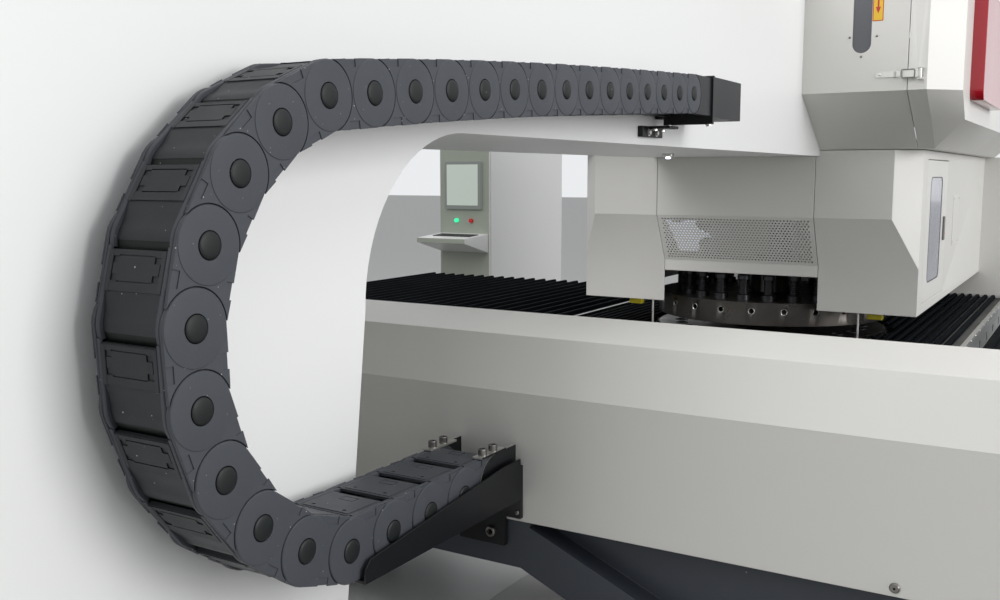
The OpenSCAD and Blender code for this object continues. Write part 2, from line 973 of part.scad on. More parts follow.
module x_motor() {
    color(black)
        union() {
            block([-70, carriage_front - 12, pinion_z - 70], [70, carriage_front, pinion_z + 70]);
            rod_y(0, carriage_front - 150, carriage_front - 12, pinion_z, 55);
        }
}

module x_pinion() {
    color(steel)
        union() {
            rod_y(0, carriage_front + 28, beam_front - 4, pinion_z, pinion_r);
            rod_y(0, carriage_front + run_gap, carriage_front + 29, pinion_z, 12);
        }
}

module clamp_xs() {
    for (i = [-1 : 1])
        translate([i * clamp_pitch, 0, 0])
            children();
}

// Clamp bodies with their lower jaws
module clamp_bodies() {
    y0 = carriage_front - clamp_reach;
    color(steel)
        clamp_xs()
            difference() {
                union() {
                    block([-clamp_w / 2, y0 + 40, carriage_z[0]], [clamp_w / 2, carriage_front, clamp_top]);
                    block([-clamp_w / 2, y0, sheet_z - 12], [clamp_w / 2, carriage_front, sheet_z]);
                    block([-clamp_w / 2, carriage_front - 25, sheet_z - 12],
                        [clamp_w / 2, carriage_front, 1000]);
                }
                block([-clamp_w / 2 + 12, y0 - 1, sheet_z + 1],
                    [clamp_w / 2 - 12, carriage_front - 26, clamp_top + 1]);
            }
}

// Upper jaw, which turns on a pin across the clamp's body
module clamp_jaw() {
    y0 = carriage_front - clamp_reach;
    color(black)
        union() {
            along_x(-clamp_w / 2 + 13, clamp_w / 2 - 13)
                polygon([[y0, sheet_z + mouth], [y0 + 60, sheet_z + mouth], [y0 + 80, pin_z],
                    [y0 + 72, pin_z + 18], [y0 + 30, pin_z - 2], [y0, sheet_z + mouth + 16]]);
            rod_x(-clamp_w / 2 + 12 + run_gap, clamp_w / 2 - 12 - run_gap, y0 + 68, pin_z, 10);
        }
}

// One link of the drag chain; its first pivot is at the origin and the next one is along +Y
module chain_link() {
    t = layer_t;
    outer = [[0, t], [chain_w - t, chain_w]];
    inner = [[t + run_gap, 2 * t], [chain_w - 2 * t, chain_w - t - run_gap]];
    union() {
        for (x = outer)
            difference() {
                union() {
                    rod_x(x[0], x[1], 0, 0, link_r);
                    block([x[0], 0, -link_r], [x[1], link_pitch - 8, link_r]);
                }
                rod_x(x[0] - 1, x[1] + 1, link_pitch, 0, link_r + 0.5);
            }
        for (x = inner)
            difference() {
                union() {
                    rod_x(x[0], x[1], link_pitch, 0, link_r);
                    block([x[0], 8, -link_r], [x[1], link_pitch, link_r]);
                }
                rod_x(x[0] - 1, x[1] + 1, 0, 0, link_r + 0.5);
            }
        for (x = [t - 0.5, chain_w - t - 0.8], z = [-link_r, link_r - 6])
            block([x, 36, z], [x + 1.3, 44, z + 6]);
        block([2 * t - 1, 20, -link_r], [chain_w - 2 * t + 1, link_pitch - 18, -link_r + lid_t]);
        block([2 * t - 1, 20, link_r - lid_t], [chain_w - 2 * t + 1, link_pitch - 10, link_r]);
        block([2 * t + 1, -8, link_r - lid_t], [chain_w - 2 * t - 1, 21, link_r]);
        for (x = [-2.5, chain_w])
            rod_x(x, x + 2.5, 0, 0, cap_r);
    }
}

module chain_links(first, last) {
    color(plastic)
        for (i = [first : last])
            translate([chain_x0, link_y[i], link_z[i]])
                rotate([-link_angle(i), 0, 0])
                    chain_link();
}

module chain_upper_run() {
    chain_links(0, run_links - 1);
}

module chain_loop() {
    chain_links(run_links, run_links + loop_links - 1);
}

module chain_lower_run() {
    chain_links(run_links + loop_links, n_links - 1);
}

tray_z = low_z - link_r - lid_t - run_gap;
tray_front = beam_rear + 8;
tray_rear = 2826;
tray_t = 4;
side_h = 62;
side_low = 28;
side_slant_y = 2505;
tab_x = [-412, -332];
tab_z = 1000;
bolt_x = -390;
foot_y = [1620, 1730];
foot_z = [1635, 1658];

flange_w = 16;
flange_t = 3;
flange_y = [tray_front + 28, tray_front + 94];

// Tray below the lower run, with a side wall and the plate that joins it to the beam
module chain_tray() {
    x0 = chain_x0 - 5;
    color(black)
        union() {
            block([x0 - 3, tray_front - 1, tray_z], [chain_x1 + 5, tray_rear, tray_z + tray_t]);
            along_x(x0 - 3, x0)
                polygon([[tray_front - 1, tray_z], [tray_rear, tray_z], [tray_rear, tray_z + side_low - 10],
                    [tray_rear - 10, tray_z + side_low], [side_slant_y, tray_z + side_h],
                    [tray_front - 1, tray_z + side_h]]);
            block([x0 - 3, beam_rear, tray_z - 30], [chain_x1 + 5, tray_front, low_z + 8]);
            block([tab_x[0], beam_rear, cover_low - 1], [tab_x[1], tray_front, tray_z]);
            block([tab_x[0], cast_rear, tab_z], [tab_x[1], tray_front, cover_low - run_gap]);
        }
}

// Plates that take the last pivot, each with a flange for two screws
module chain_end_brackets() {
    pin_y = link_y[n_links];
    top = low_z + link_r + run_gap;
    color(steel)
        for (x = [[chain_x0, chain_x0], [chain_x1 - layer_t, chain_x1 - flange_w]])
            union() {
                rod_x(x[0], x[0] + layer_t, pin_y, low_z, link_r);
                block([x[0], tray_front, low_z - link_r], [x[0] + layer_t, pin_y, top + 1]);
                block([x[1], flange_y[0], top], [x[1] + flange_w, flange_y[1], top + flange_t]);
            }
}

// Box at the upper end, where the cables leave the chain
module cable_box() {
    t = layer_t;
    y1 = chain_y - end_gap;
    ends = [[t + run_gap, 2 * t], [chain_w - 2 * t, chain_w - t - run_gap]];
    color(black)
        difference() {
            union() {
                for (x = ends) {
                    rod_x(chain_x0 + x[0], chain_x0 + x[1], chain_y, chain_z, link_r);
                    block([chain_x0 + x[0], y1 - 1, chain_z - link_r],
                        [chain_x0 + x[1], chain_y, chain_z + link_r]);
                }
                for (x = [0, chain_w - t])
                    difference() {
                        block([chain_x0 + x, y1 - 1, chain_z - link_r],
                            [chain_x0 + x + t, chain_y, chain_z + link_r]);
                        rod_x(chain_x0 + x - 1, chain_x0 + x + t + 1, chain_y, chain_z, link_r + 0.5);
                    }
                block([chain_x0 - 4, y1 - 8, chain_z - 56], [chain_x1 + 4, y1, chain_z + 44]);
                block([chain_x0 - 2, y1 - 190, chain_z - 42], [-half_w, y1 - 8, chain_z + 42]);
            }
            block([chain_x0 + 2, y1 - 186, chain_z - 38], [-half_w - 4, y1 - 7, chain_z + 38]);
            block([chain_x0 + 2 * t, y1 - 9, chain_z - 30], [chain_x1 - 2 * t, y1 + 1, chain_z + 30]);
        }
}

module chain_foot() {
    color(black)
        union() {
            block([-half_w - 12, foot_y[0], foot_z[0]], [-half_w, foot_y[1], foot_z[1]]);
            block([-half_w - 60, foot_y[0] + 30, foot_z[1] - 6], [-half_w - 12, foot_y[1] - 30, foot_z[1]]);
        }
}

module socket_screws() {
    top = low_z + link_r + run_gap + flange_t;
    color(steel) {
        for (x = [chain_x0 + flange_w / 2, chain_x1 - flange_w / 2], y = [flange_y[0] + 24, flange_y[0] + 52])
            rod_z(x, y, top, top + 9, 6.5);
        rod_y(bolt_x, tray_front, tray_front + 6, tab_z + 20, 8);
    }
}

button_r = 14;
button_dx = 60;
button_z = shelf_z + 110;
console_wall = 4;
duct_w = 120;
duct_h = 30;
duct_x = 150;
screen_low = shelf_z + 190;

// Control cabinet with a keyboard shelf, joined to the machine by a floor duct
module operator_console() {
    x0 = console_x;
    x1 = console_x + console_w;
    rear = console_y - console_d;
    duct_y = console_y - 200;
    color(grey)
        difference() {
            union() {
                block([x0, rear, 0], [x1, console_y, console_h]);
                block([x0 - 3, rear + 20, 80], [x0 + 1, console_y - 20, console_h - 40]);
                along_x(x0 + 8, x1 - 8)
                    polygon([[console_y - 1, shelf_z - 110], [console_y + shelf_reach, shelf_z - 30],
                        [console_y + shelf_reach, shelf_z], [console_y - 1, shelf_z + 20]]);
                block([duct_x, duct_y, 0], [x0 + 1, duct_y + duct_w, duct_h]);
                block([duct_x, duct_y, 0], [duct_x + duct_w, frame_front, duct_h]);
                block([duct_x, frame_front - 20, 0], [duct_x + duct_w, frame_front, 300]);
            }
            block([x0 + console_wall, rear + console_wall, console_wall],
                [x1 - console_wall, console_y - console_wall, console_h - console_wall]);
            block([duct_x + console_wall, duct_y + console_wall, -1],
                [x0 + console_wall + 1, duct_y + duct_w - console_wall, duct_h - console_wall]);
            for (dx = [-button_dx, button_dx])
                rod_y(x0 + console_w / 2 + dx, console_y - 20, console_y + 20, button_z, button_r + run_gap);
        }
}

module console_screen() {
    x = console_x + console_w / 2;
    color(black)
        block([x - 150, console_y, screen_low], [x + 150, console_y + 28, screen_low + 330]);
}

module console_button(dx) {
    rod_y(console_x + console_w / 2 + dx, console_y - 6, console_y + 22, button_z, button_r);
}

module stop_button() {
    color([0.8, 0.1, 0.1])
        console_button(-button_dx);
}

module start_button() {
    color([0.1, 0.6, 0.2])
        console_button(button_dx);
}

main_frame();
base_wings();
levelling_feet();
y_rails();
y_motor();
centre_table();
centre_brushes();
table_edge_strips();
hood_left();
hood_middle();
hood_right();
hood_door();  // hood_door_left
other_side() hood_door();  // hood_door_right
hood_window();  // hood_window_left
other_side() hood_window();  // hood_window_right
front_guards();
head_cover_left();
head_cover_right();
head_door();  // head_door_left
other_side() head_door();  // head_door_right
head_window();  // head_window_left
other_side() head_window();  // head_window_right
latch_lever();  // latch_lever_left
other_side() latch_lever();  // latch_lever_right
latch_keepers();
badge_plate();
arrow_plate();
ram_drive();
ram();
upper_turret();
lower_turret();
punches();
dies();
turret_motor();
station_punch();
beam_casting();
beam_cover();
other_side() side_table();  // side_table_left
side_table();  // side_table_right
x_rails();
carriage();
x_motor();
x_pinion();
clamp_bodies();
translate([-clamp_pitch, 0, 0]) clamp_jaw();  // clamp_jaw_1
clamp_jaw();  // clamp_jaw_2
translate([clamp_pitch, 0, 0]) clamp_jaw();  // clamp_jaw_3
y_screw();
chain_upper_run();
chain_loop();
chain_lower_run();
chain_tray();
chain_end_brackets();
cable_box();
chain_foot();
socket_screws();
operator_console();
console_screen();
stop_button();
start_button();
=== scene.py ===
"""The visual model of the turret punch press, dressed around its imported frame."""

import json
import logging
import math
from dataclasses import dataclass
from enum import Enum
from typing import Callable, Sequence

import bmesh
import bpy
import numpy as np
from mathutils import Matrix, Vector


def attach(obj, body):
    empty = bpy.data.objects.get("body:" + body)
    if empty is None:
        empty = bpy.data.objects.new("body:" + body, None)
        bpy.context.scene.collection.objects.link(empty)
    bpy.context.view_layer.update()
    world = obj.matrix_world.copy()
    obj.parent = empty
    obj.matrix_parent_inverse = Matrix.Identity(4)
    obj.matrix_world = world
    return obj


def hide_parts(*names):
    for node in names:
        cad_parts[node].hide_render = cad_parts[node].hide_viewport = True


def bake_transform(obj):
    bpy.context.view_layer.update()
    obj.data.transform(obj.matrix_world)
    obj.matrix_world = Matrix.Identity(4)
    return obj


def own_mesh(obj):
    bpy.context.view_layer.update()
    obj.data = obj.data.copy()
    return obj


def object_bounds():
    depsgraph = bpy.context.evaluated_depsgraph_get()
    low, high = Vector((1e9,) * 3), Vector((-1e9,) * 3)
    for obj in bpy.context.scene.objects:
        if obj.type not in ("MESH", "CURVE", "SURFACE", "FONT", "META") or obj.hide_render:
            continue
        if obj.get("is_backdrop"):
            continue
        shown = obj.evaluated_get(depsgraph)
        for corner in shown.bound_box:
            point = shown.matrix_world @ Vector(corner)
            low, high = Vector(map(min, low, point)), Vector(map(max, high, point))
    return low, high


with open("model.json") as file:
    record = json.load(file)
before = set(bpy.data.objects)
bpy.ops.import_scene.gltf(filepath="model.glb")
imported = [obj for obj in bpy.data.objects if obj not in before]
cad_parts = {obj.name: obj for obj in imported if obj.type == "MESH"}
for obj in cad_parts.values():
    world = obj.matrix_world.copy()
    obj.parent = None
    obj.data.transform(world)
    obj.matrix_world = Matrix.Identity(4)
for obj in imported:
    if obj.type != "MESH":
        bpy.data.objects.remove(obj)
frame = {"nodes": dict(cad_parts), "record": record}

LOG = logging.getLogger("punch_press")
MM = 0.001
ON_AXIS = 0.01  # least radius of a turned profile, so that no ring shrinks to one point
WELD = 2e-6  # metres: points of a new mesh closer than this become one
NODE_WELD = 1e-5  # metres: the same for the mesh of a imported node
FLAT_ANGLE = 0.5  # degrees: faces that meet at less than this are joined
MIX_INPUTS, MIX_RESULT = (6, 7), 2  # the colour sockets of a Mix node
CLOUD_CONTRAST = 1.6
BUMP_DEPTH = 0.0006  # metres
SIDES = ((-1, "left"), (1, "right"))
Array = np.ndarray
Piece = bpy.types.Object
Tree = bpy.types.NodeTree


class Axis(Enum):
    """The axis that a profile is carried along."""

    X = 0
    Y = 1
    Z = 2


def lift(flat: Array, axis: Axis, height: float) -> Array:
    """Puts a flat outline into space, at one height along an axis.

    Args:
        flat: Points of shape (n, 2), in the two other axes in their usual order.
        axis: The axis across the outline.
        height: The place along that axis.
    Returns:
        Points of shape (n, 3).
    """
    out = np.empty((len(flat), 3))
    rest = [a for a in range(3) if a != axis.value]
    out[:, rest[0]] = flat[:, 0]
    out[:, rest[1]] = flat[:, 1]
    out[:, axis.value] = height
    return out


def arc(cy: float, cz: float, r: float, a0: float, a1: float, n: int) -> Array:
    """Points on a circle from angle a0 to a1, in degrees: centre plus r times cosine and sine."""
    a = np.radians(np.linspace(a0, a1, n))
    return np.column_stack([cy + r * np.cos(a), cz + r * np.sin(a)])


def box_outline(lo: Sequence[float], hi: Sequence[float], r: float = 0.0, n: int = 5) -> Array:
    """A rectangle with round corners: four quarter circles joined by straight sides.

    Args:
        lo: The corner with the least coordinates.
        hi: The opposite corner.
        r: Radius of the corners.
        n: Points in each corner.
    Returns:
        Points of shape (k, 2).
    """
    if r <= 0:
        return np.array([[lo[0], lo[1]], [hi[0], lo[1]], [hi[0], hi[1]], [lo[0], hi[1]]], float)
    return np.vstack([
        arc(lo[0] + r, lo[1] + r, r, 180, 270, n), arc(hi[0] - r, lo[1] + r, r, 270, 360, n),
        arc(hi[0] - r, hi[1] - r, r, 0, 90, n), arc(lo[0] + r, hi[1] - r, r, 90, 180, n)])


def mirrored(side: int, near: float, far: float) -> tuple[float, float]:
    """Two places on the right (1) or left (-1) side of the machine, in rising order."""
    return (near, far) if side > 0 else (-far, -near)


def rounded(points: Sequence[Sequence[float]], r: float, n: int = 4) -> Array:
    """Rounds a closed outline's corners with a quadratic curve through each corner's neighbourhood.

    Args:
        points: The outline's corners.
        r: How far along each side the rounding starts.
        n: Points in each corner.
    Returns:
        Points of shape (k, 2).
    """
    p = np.asarray(points, float)
    before, after = np.roll(p, 1, 0) - p, np.roll(p, -1, 0) - p
    lb, la = np.linalg.norm(before, axis=1), np.linalg.norm(after, axis=1)
    cut = np.minimum(r, 0.45 * np.minimum(lb, la))[:, None]
    a, b = p + before / lb[:, None] * cut, p + after / la[:, None] * cut
    t = np.linspace(0, 1, n)[None, :, None]
    curve = (1 - t) ** 2 * a[:, None] + 2 * t * (1 - t) * p[:, None] + t ** 2 * b[:, None]
    return curve.reshape(-1, 2)


def inset(flat: Array, by: float) -> Array:
    """Moves an outline inwards: each point goes along the mean of its two sides' inward normals.

    Args:
        flat: The outline, of shape (n, 2).
        by: How far it moves.
    Returns:
        Points of shape (n, 2).
    """
    area = np.sum(flat[:, 0] * np.roll(flat[:, 1], -1) - np.roll(flat[:, 0], -1) * flat[:, 1])
    side = np.roll(flat, -1, 0) - flat
    side /= np.maximum(np.linalg.norm(side, axis=1), 1e-9)[:, None]
    normal = np.column_stack([-side[:, 1], side[:, 0]]) * np.sign(area)
    both = normal + np.roll(normal, 1, 0)
    both /= np.maximum(np.sum(both * normal, axis=1), 0.35)[:, None]
    return flat + both * by


def linked(name: str, data: object) -> Piece:
    """Puts a new object with its data into the scene.

    Args:
        name: Name of the object.
        data: Its mesh, lamp or camera.
    Returns:
        The new object.
    """
    made = bpy.data.objects.new(name, data)
    bpy.context.scene.collection.objects.link(made)
    return made


def finish_mesh(work: bmesh.types.BMesh, mesh: bpy.types.Mesh, name: str, sharp: float) -> Piece:
    """Writes the worked faces back, shades them and makes the object.

    Args:
        work: The faces, which are freed.
        mesh: The mesh that takes them.
        name: Name of the object.
        sharp: Angle past which an edge stays sharp, in degrees.
    Returns:
        The new object, linked to the scene.
    """
    work.to_mesh(mesh)
    work.free()
    mesh.shade_smooth()
    mesh.set_sharp_from_angle(angle=math.radians(sharp))
    return linked(name, mesh)


class Shell:
    """Closed surfaces gathered for one mesh, in millimetres, with a tone at every point."""

    def __init__(self) -> None:
        """Starts empty."""
        self.points: list[Array] = []
        self.tones: list[Array] = []
        self.faces: list[Sequence[int]] = []
        self.count = 0

    def add(self, points: Array, faces: Sequence[Sequence[int]], tone: float | Array = 0.0) -> None:
        """Adds points and the faces that join them.

        Args:
            points: Array of shape (n, 3).
            faces: Rows of indices into the points.
            tone: A number from 0 to 1 that the finish reads, or one for each point.
        """
        start = self.count
        self.points.append(np.asarray(points, float))
        self.tones.append(np.full(len(points), tone))
        self.faces.extend([[i + start for i in f] for f in faces])
        self.count += len(points)

    def rings(self, rings: Array, tone: float = 0.0, around: bool = True, ends: bool = True) -> None:
        """Joins rows of points into a skin, closed round each row and capped at both ends.

        Args:
            rings: Array of shape (rows, n, 3).
            tone: A number for the finish.
            around: True where each row closes on itself.
            ends: True where the first and last row are closed by one face each.
        """
        rows, n = rings.shape[:2]
        i, j = np.meshgrid(np.arange(rows - 1), np.arange(n if around else n - 1), indexing="ij")
        k = (j + 1) % n
        quads = np.stack([i * n + j, i * n + k, (i + 1) * n + k, (i + 1) * n + j], -1).reshape(-1, 4)
        faces: list[Sequence[int]] = quads.tolist()
        if ends:
            faces.append(list(range(n))[::-1])
            faces.append(list(range((rows - 1) * n, rows * n)))
        self.add(rings.reshape(-1, 3), faces, tone)

    def slab(self, flat: Array, axis: Axis, lo: float, hi: float, bevel: float = 0.0,
             tone: float = 0.0) -> None:
        """A flat outline carried along an axis, with its two rims chamfered.

        Args:
            flat: The outline, of shape (n, 2).
            axis: The axis that it is carried along.
            lo: Where it starts.
            hi: Where it ends.
            bevel: Width of the chamfer.
            tone: A number for the finish.
        """
        if bevel > 0:
            small = inset(flat, bevel)
            rows = [lift(small, axis, lo), lift(flat, axis, lo + bevel), lift(flat, axis, hi - bevel),
                    lift(small, axis, hi)]
        else:
            rows = [lift(flat, axis, lo), lift(flat, axis, hi)]
        self.rings(np.stack(rows), tone)

    def box(self, lo: Sequence[float], hi: Sequence[float], bevel: float = 0.6, tone: float = 0.0) -> None:
        """A block with chamfered edges: its plan carried upwards with every corner cut."""
        flat = rounded([[lo[0], lo[1]], [hi[0], lo[1]], [hi[0], hi[1]], [lo[0], hi[1]]], bevel, 2)
        self.slab(flat, Axis.Z, lo[2], hi[2], bevel, tone)

    def lathe(self, profile: Sequence[Sequence[float]], centre: Sequence[float], axis: Axis,
              segments: int = 32, tone: float = 0.0, way: float = 1.0, hollow: bool = False) -> None:
        """Turns a profile round an axis: a point at radius r and height h goes to a circle of radius r.

        Args:
            profile: Rows of (radius, height); it starts and ends on the axis or is closed by a face.
            centre: Where the axis passes, with height 0 at its own coordinate.
            axis: The axis of the turning.
            segments: Points round each circle.
            tone: A number for the finish.
            way: 1 where heights count along the axis, -1 where they count against it.
            hollow: True for a ring: its last row is joined to its first.
        """
        a = np.arange(segments) * 2 * np.pi / segments
        circle = np.column_stack([np.cos(a), np.sin(a)])
        closed = [*profile, profile[0]] if hollow else profile
        rows = [lift(max(r, ON_AXIS) * circle, axis, way * h) for r, h in closed]
        self.rings(np.stack(rows) + np.asarray(centre, float), tone, ends=not hollow)

    def tube(self, path: Sequence[Sequence[float]], r: float, sides: int = 10, closed: bool = False,
             tone: float = 0.0) -> None:
        """Carries a circle along a path, in frames that turn as little as they can.

        Args:
            path: Points of the middle line.
            r: Radius of the circle.
            sides: Points round it.
            closed: True where the path joins its own start.
            tone: A number for the finish.
        """
        p = np.asarray(path, float)
        ahead = np.roll(p, -1, 0) - np.roll(p, 1, 0)
        if not closed:
            ahead[0], ahead[-1] = p[1] - p[0], p[-1] - p[-2]
        ahead /= np.linalg.norm(ahead, axis=1)[:, None]
        ref = np.array([0.0, 0.0, 1.0]) if abs(ahead[0, 2]) < 0.9 else np.array([1.0, 0.0, 0.0])
        first = np.cross(ahead, ref)
        weak = np.linalg.norm(first, axis=1) < 0.2
        first[weak] = np.cross(ahead[weak], np.array([0.3, 0.9, 0.3]))
        first /= np.linalg.norm(first, axis=1)[:, None]
        second = np.cross(ahead, first)
        a = np.arange(sides) * 2 * np.pi / sides
        around = np.cos(a)[None, :, None] * first[:, None] + np.sin(a)[None, :, None] * second[:, None]
        rings = p[:, None] + r * around
        if closed:
            rings = np.concatenate([rings, rings[:1]])
        self.rings(rings, tone, ends=not closed)

    def relief(self, xs: Sequence[float], ys: Sequence[float], heights: Array, base: float,
               put: Callable[[Array], Array], tones: Array | None = None) -> None:
        """A plate of steps: every cell of a grid is flat at its own height, with walls between cells.

        Args:
            xs: Lines of the grid across.
            ys: Lines of the grid along.
            heights: Height of each cell, of shape (len(xs) - 1, len(ys) - 1).
            base: Height of the plate's flat back.
            put: Turns points (across, along, height) into space.
            tones: A tone for each cell.
        """
        x, y = np.asarray(xs, float), np.asarray(ys, float)
        nx, ny = len(x) - 1, len(y) - 1
        shade = np.zeros((nx, ny)) if tones is None else tones

        def quads(corners: Array, tone: Array) -> None:
            """Adds loose quads, each with its own tone.

            Args:
                corners: Rows of four corners.
                tone: A tone for each quad.
            """
            flat = corners.reshape(-1, 3)
            index = np.arange(len(flat)).reshape(-1, 4).tolist()
            self.add(put(flat), index, np.repeat(tone.reshape(-1), 4))

        i, j = np.meshgrid(np.arange(nx), np.arange(ny), indexing="ij")
        x0, x1, y0, y1 = x[i], x[i + 1], y[j], y[j + 1]
        quads(np.stack([np.stack([a, b, heights], -1) for a, b in
                        ((x0, y0), (x1, y0), (x1, y1), (x0, y1))], 2), shade)
        back = [[x[0], y[0], base], [x[0], y[-1], base], [x[-1], y[-1], base], [x[-1], y[0], base]]
        quads(np.array([back]), np.zeros(1))
        tall = np.full((nx + 2, ny + 2), base)
        tall[1:-1, 1:-1] = heights
        tone = np.zeros((nx + 2, ny + 2))
        tone[1:-1, 1:-1] = shade
        for across in (True, False):
            a = tall[:-1, 1:-1] if across else tall[1:-1, :-1]
            b = tall[1:, 1:-1] if across else tall[1:-1, 1:]
            ta = tone[:-1, 1:-1] if across else tone[1:-1, :-1]
            tb = tone[1:, 1:-1] if across else tone[1:-1, 1:]
            u, v = np.nonzero(np.abs(a - b) > 1e-6)
            if across:
                px, py0, py1 = x[u], y[v], y[v + 1]
                foot = [np.stack([px, py0, a[u, v]], -1), np.stack([px, py1, a[u, v]], -1),
                        np.stack([px, py1, b[u, v]], -1), np.stack([px, py0, b[u, v]], -1)]
            else:
                py, px0, px1 = y[v], x[u], x[u + 1]
                foot = [np.stack([px1, py, a[u, v]], -1), np.stack([px0, py, a[u, v]], -1),
                        np.stack([px0, py, b[u, v]], -1), np.stack([px1, py, b[u, v]], -1)]
            if len(u):
                quads(np.stack(foot, 1), np.maximum(ta, tb)[u, v])

    def include(self, other: "Shell", turn: Array, move: Sequence[float]) -> None:
        """Adds a copy of another shell, turned by a 3 by 3 matrix and then moved."""
        points = np.vstack(other.points) @ turn.T + np.asarray(move, float)
        self.add(points, other.faces, np.concatenate(other.tones))

    def build(self, name: str, sharp: float = 32.0, merge: bool = True) -> Piece:
        """Makes the mesh, with its normals outwards and edges sharp past an angle.

        Args:
            name: Name of the piece.
            sharp: Angle past which an edge stays sharp, in degrees.
            merge: True to weld points that lie together.
        Returns:
            The new object, linked to the scene.
        """
        mesh = bpy.data.meshes.new(name)
        mesh.from_pydata((np.vstack(self.points) * MM).tolist(), [], self.faces)
        tone = mesh.attributes.new("tone", "FLOAT", "POINT")
        tone.data.foreach_set("value", np.concatenate(self.tones).astype(np.float32))
        work = bmesh.new()
        work.from_mesh(mesh)
        if merge:
            bmesh.ops.remove_doubles(work, verts=work.verts, dist=WELD)
        bmesh.ops.recalc_face_normals(work, faces=work.faces)
        return finish_mesh(work, mesh, name, sharp)


def skin_of(node: str, name: str, width: float = 1.5, segments: int = 2, angle: float = 32.0) -> Piece:
    """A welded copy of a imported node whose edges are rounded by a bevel.

    Args:
        node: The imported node.
        name: Name of the new piece.
        width: Width of the bevel in millimetres.
        segments: Facets across the bevel.
        angle: Edges sharper than this are rounded, in degrees.
    Returns:
        The new object, which stands for the node.
    """
    mesh = frame["nodes"][node].data.copy()
    mesh.name = name
    work = bmesh.new()
    work.from_mesh(mesh)
    bmesh.ops.remove_doubles(work, verts=work.verts, dist=NODE_WELD)
    bmesh.ops.dissolve_limit(work, angle_limit=math.radians(FLAT_ANGLE), verts=work.verts, edges=work.edges)
    made = finish_mesh(work, mesh, name, angle)
    mesh.materials.clear()
    bevel = made.modifiers.new("rounding", "BEVEL")
    bevel.width = width * MM
    bevel.segments = segments
    bevel.limit_method = "ANGLE"
    bevel.angle_limit = math.radians(angle)
    bevel.harden_normals = True
    bevel.use_clamp_overlap = True
    bevel.miter_outer = "MITER_ARC"
    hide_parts(node)
    return made


def tone_faces(piece: Piece, dark: Callable[[Array, Array], Array]) -> None:
    """Writes the tone of each face: 1 where a test on normals and heights holds, otherwise 0.

    Args:
        piece: The piece, whose faces get the tone.
        dark: The test, given the normals and how far each face reaches in Z, in metres.
    """
    mesh = piece.data
    count = len(mesh.polygons)
    normals, start = np.empty(count * 3), np.empty(count, int)
    points, corners = np.empty(len(mesh.vertices) * 3), np.empty(len(mesh.loops), int)
    mesh.polygons.foreach_get("normal", normals)
    mesh.polygons.foreach_get("loop_start", start)
    mesh.vertices.foreach_get("co", points)
    mesh.loops.foreach_get("vertex_index", corners)
    z = points.reshape(-1, 3)[corners, 2]
    heights = np.maximum.reduceat(z, start) - np.minimum.reduceat(z, start)
    tone = mesh.attributes.new("tone", "FLOAT", "FACE")
    tone.data.foreach_set("value", dark(normals.reshape(-1, 3), heights).astype(np.float32))


# Effects shared by the finishes

GRAIN_INPUTS = ("Along X", "Along Y", "Along Z")


def new_group(name: str, inputs: dict[str, float], output: str) -> tuple:
    """Starts a shader node group with a Vector input, number inputs and one number output.

    Args:
        name: Name of the group.
        inputs: The numbers' names and values.
        output: Name of the output.
    Returns:
        The group, its input node and its output node.
    """
    group = bpy.data.node_groups.new(name, "ShaderNodeTree")
    group.interface.new_socket("Vector", in_out="INPUT", socket_type="NodeSocketVector")
    for label, value in inputs.items():
        socket = group.interface.new_socket(label, in_out="INPUT", socket_type="NodeSocketFloat")
        socket.default_value = value
    group.interface.new_socket(output, in_out="OUTPUT", socket_type="NodeSocketFloat")
    return group, group.nodes.new("NodeGroupInput"), group.nodes.new("NodeGroupOutput")


def math_node(tree: Tree, what: str, a: object, b: object = None, clamp: bool = False) -> object:
    """A Math node; each operand is a socket or a number.

    Args:
        tree: The node tree.
        what: The operation.
        a: First operand.
        b: Second operand.
        clamp: True to keep the result from 0 to 1.
    Returns:
        The result's socket.
    """
    node = tree.nodes.new("ShaderNodeMath")
    node.operation = what
    node.use_clamp = clamp
    for index, value in enumerate((a, b)):
        if isinstance(value, (int, float)):
            node.inputs[index].default_value = value
        elif value is not None:
            tree.links.new(value, node.inputs[index])
    return node.outputs[0]


def speck_group() -> Tree:
    """Loose specks: in cells of a Voronoi pattern, a dot of random size where a random draw allows one.

    Returns:
        The group.
    """
    group, start, end = new_group("loose_specks", {"Scale": 60, "Size": 0.2, "Share": 0.3}, "Mask")
    cells = group.nodes.new("ShaderNodeTexVoronoi")
    group.links.new(start.outputs["Vector"], cells.inputs["Vector"])
    group.links.new(start.outputs["Scale"], cells.inputs["Scale"])
    split = group.nodes.new("ShaderNodeSeparateColor")
    group.links.new(cells.outputs["Color"], split.inputs[0])
    draw = math_node(group, "POWER", split.outputs[0], 2.0)
    size = math_node(group, "MULTIPLY", start.outputs["Size"], draw)
    dot = math_node(group, "LESS_THAN", cells.outputs["Distance"], size)
    allowed = math_node(group, "LESS_THAN", split.outputs[1], start.outputs["Share"])
    group.links.new(math_node(group, "MULTIPLY", dot, allowed), end.inputs["Mask"])
    return group


def cloud_group() -> Tree:
    """Soft unevenness: layered noise, stretched round its middle by a contrast.

    Returns:
        The group.
    """
    group, start, end = new_group("soft_clouds", {"Scale": 4, "Contrast": 1.5}, "Value")
    noise = group.nodes.new("ShaderNodeTexNoise")
    noise.inputs["Detail"].default_value = 5
    noise.inputs["Roughness"].default_value = 0.6
    group.links.new(start.outputs["Vector"], noise.inputs["Vector"])
    group.links.new(start.outputs["Scale"], noise.inputs["Scale"])
    centred = math_node(group, "SUBTRACT", noise.outputs[0], 0.5)
    wide = math_node(group, "MULTIPLY", centred, start.outputs["Contrast"])
    group.links.new(math_node(group, "ADD", wide, 0.5, clamp=True), end.inputs["Value"])
    return group


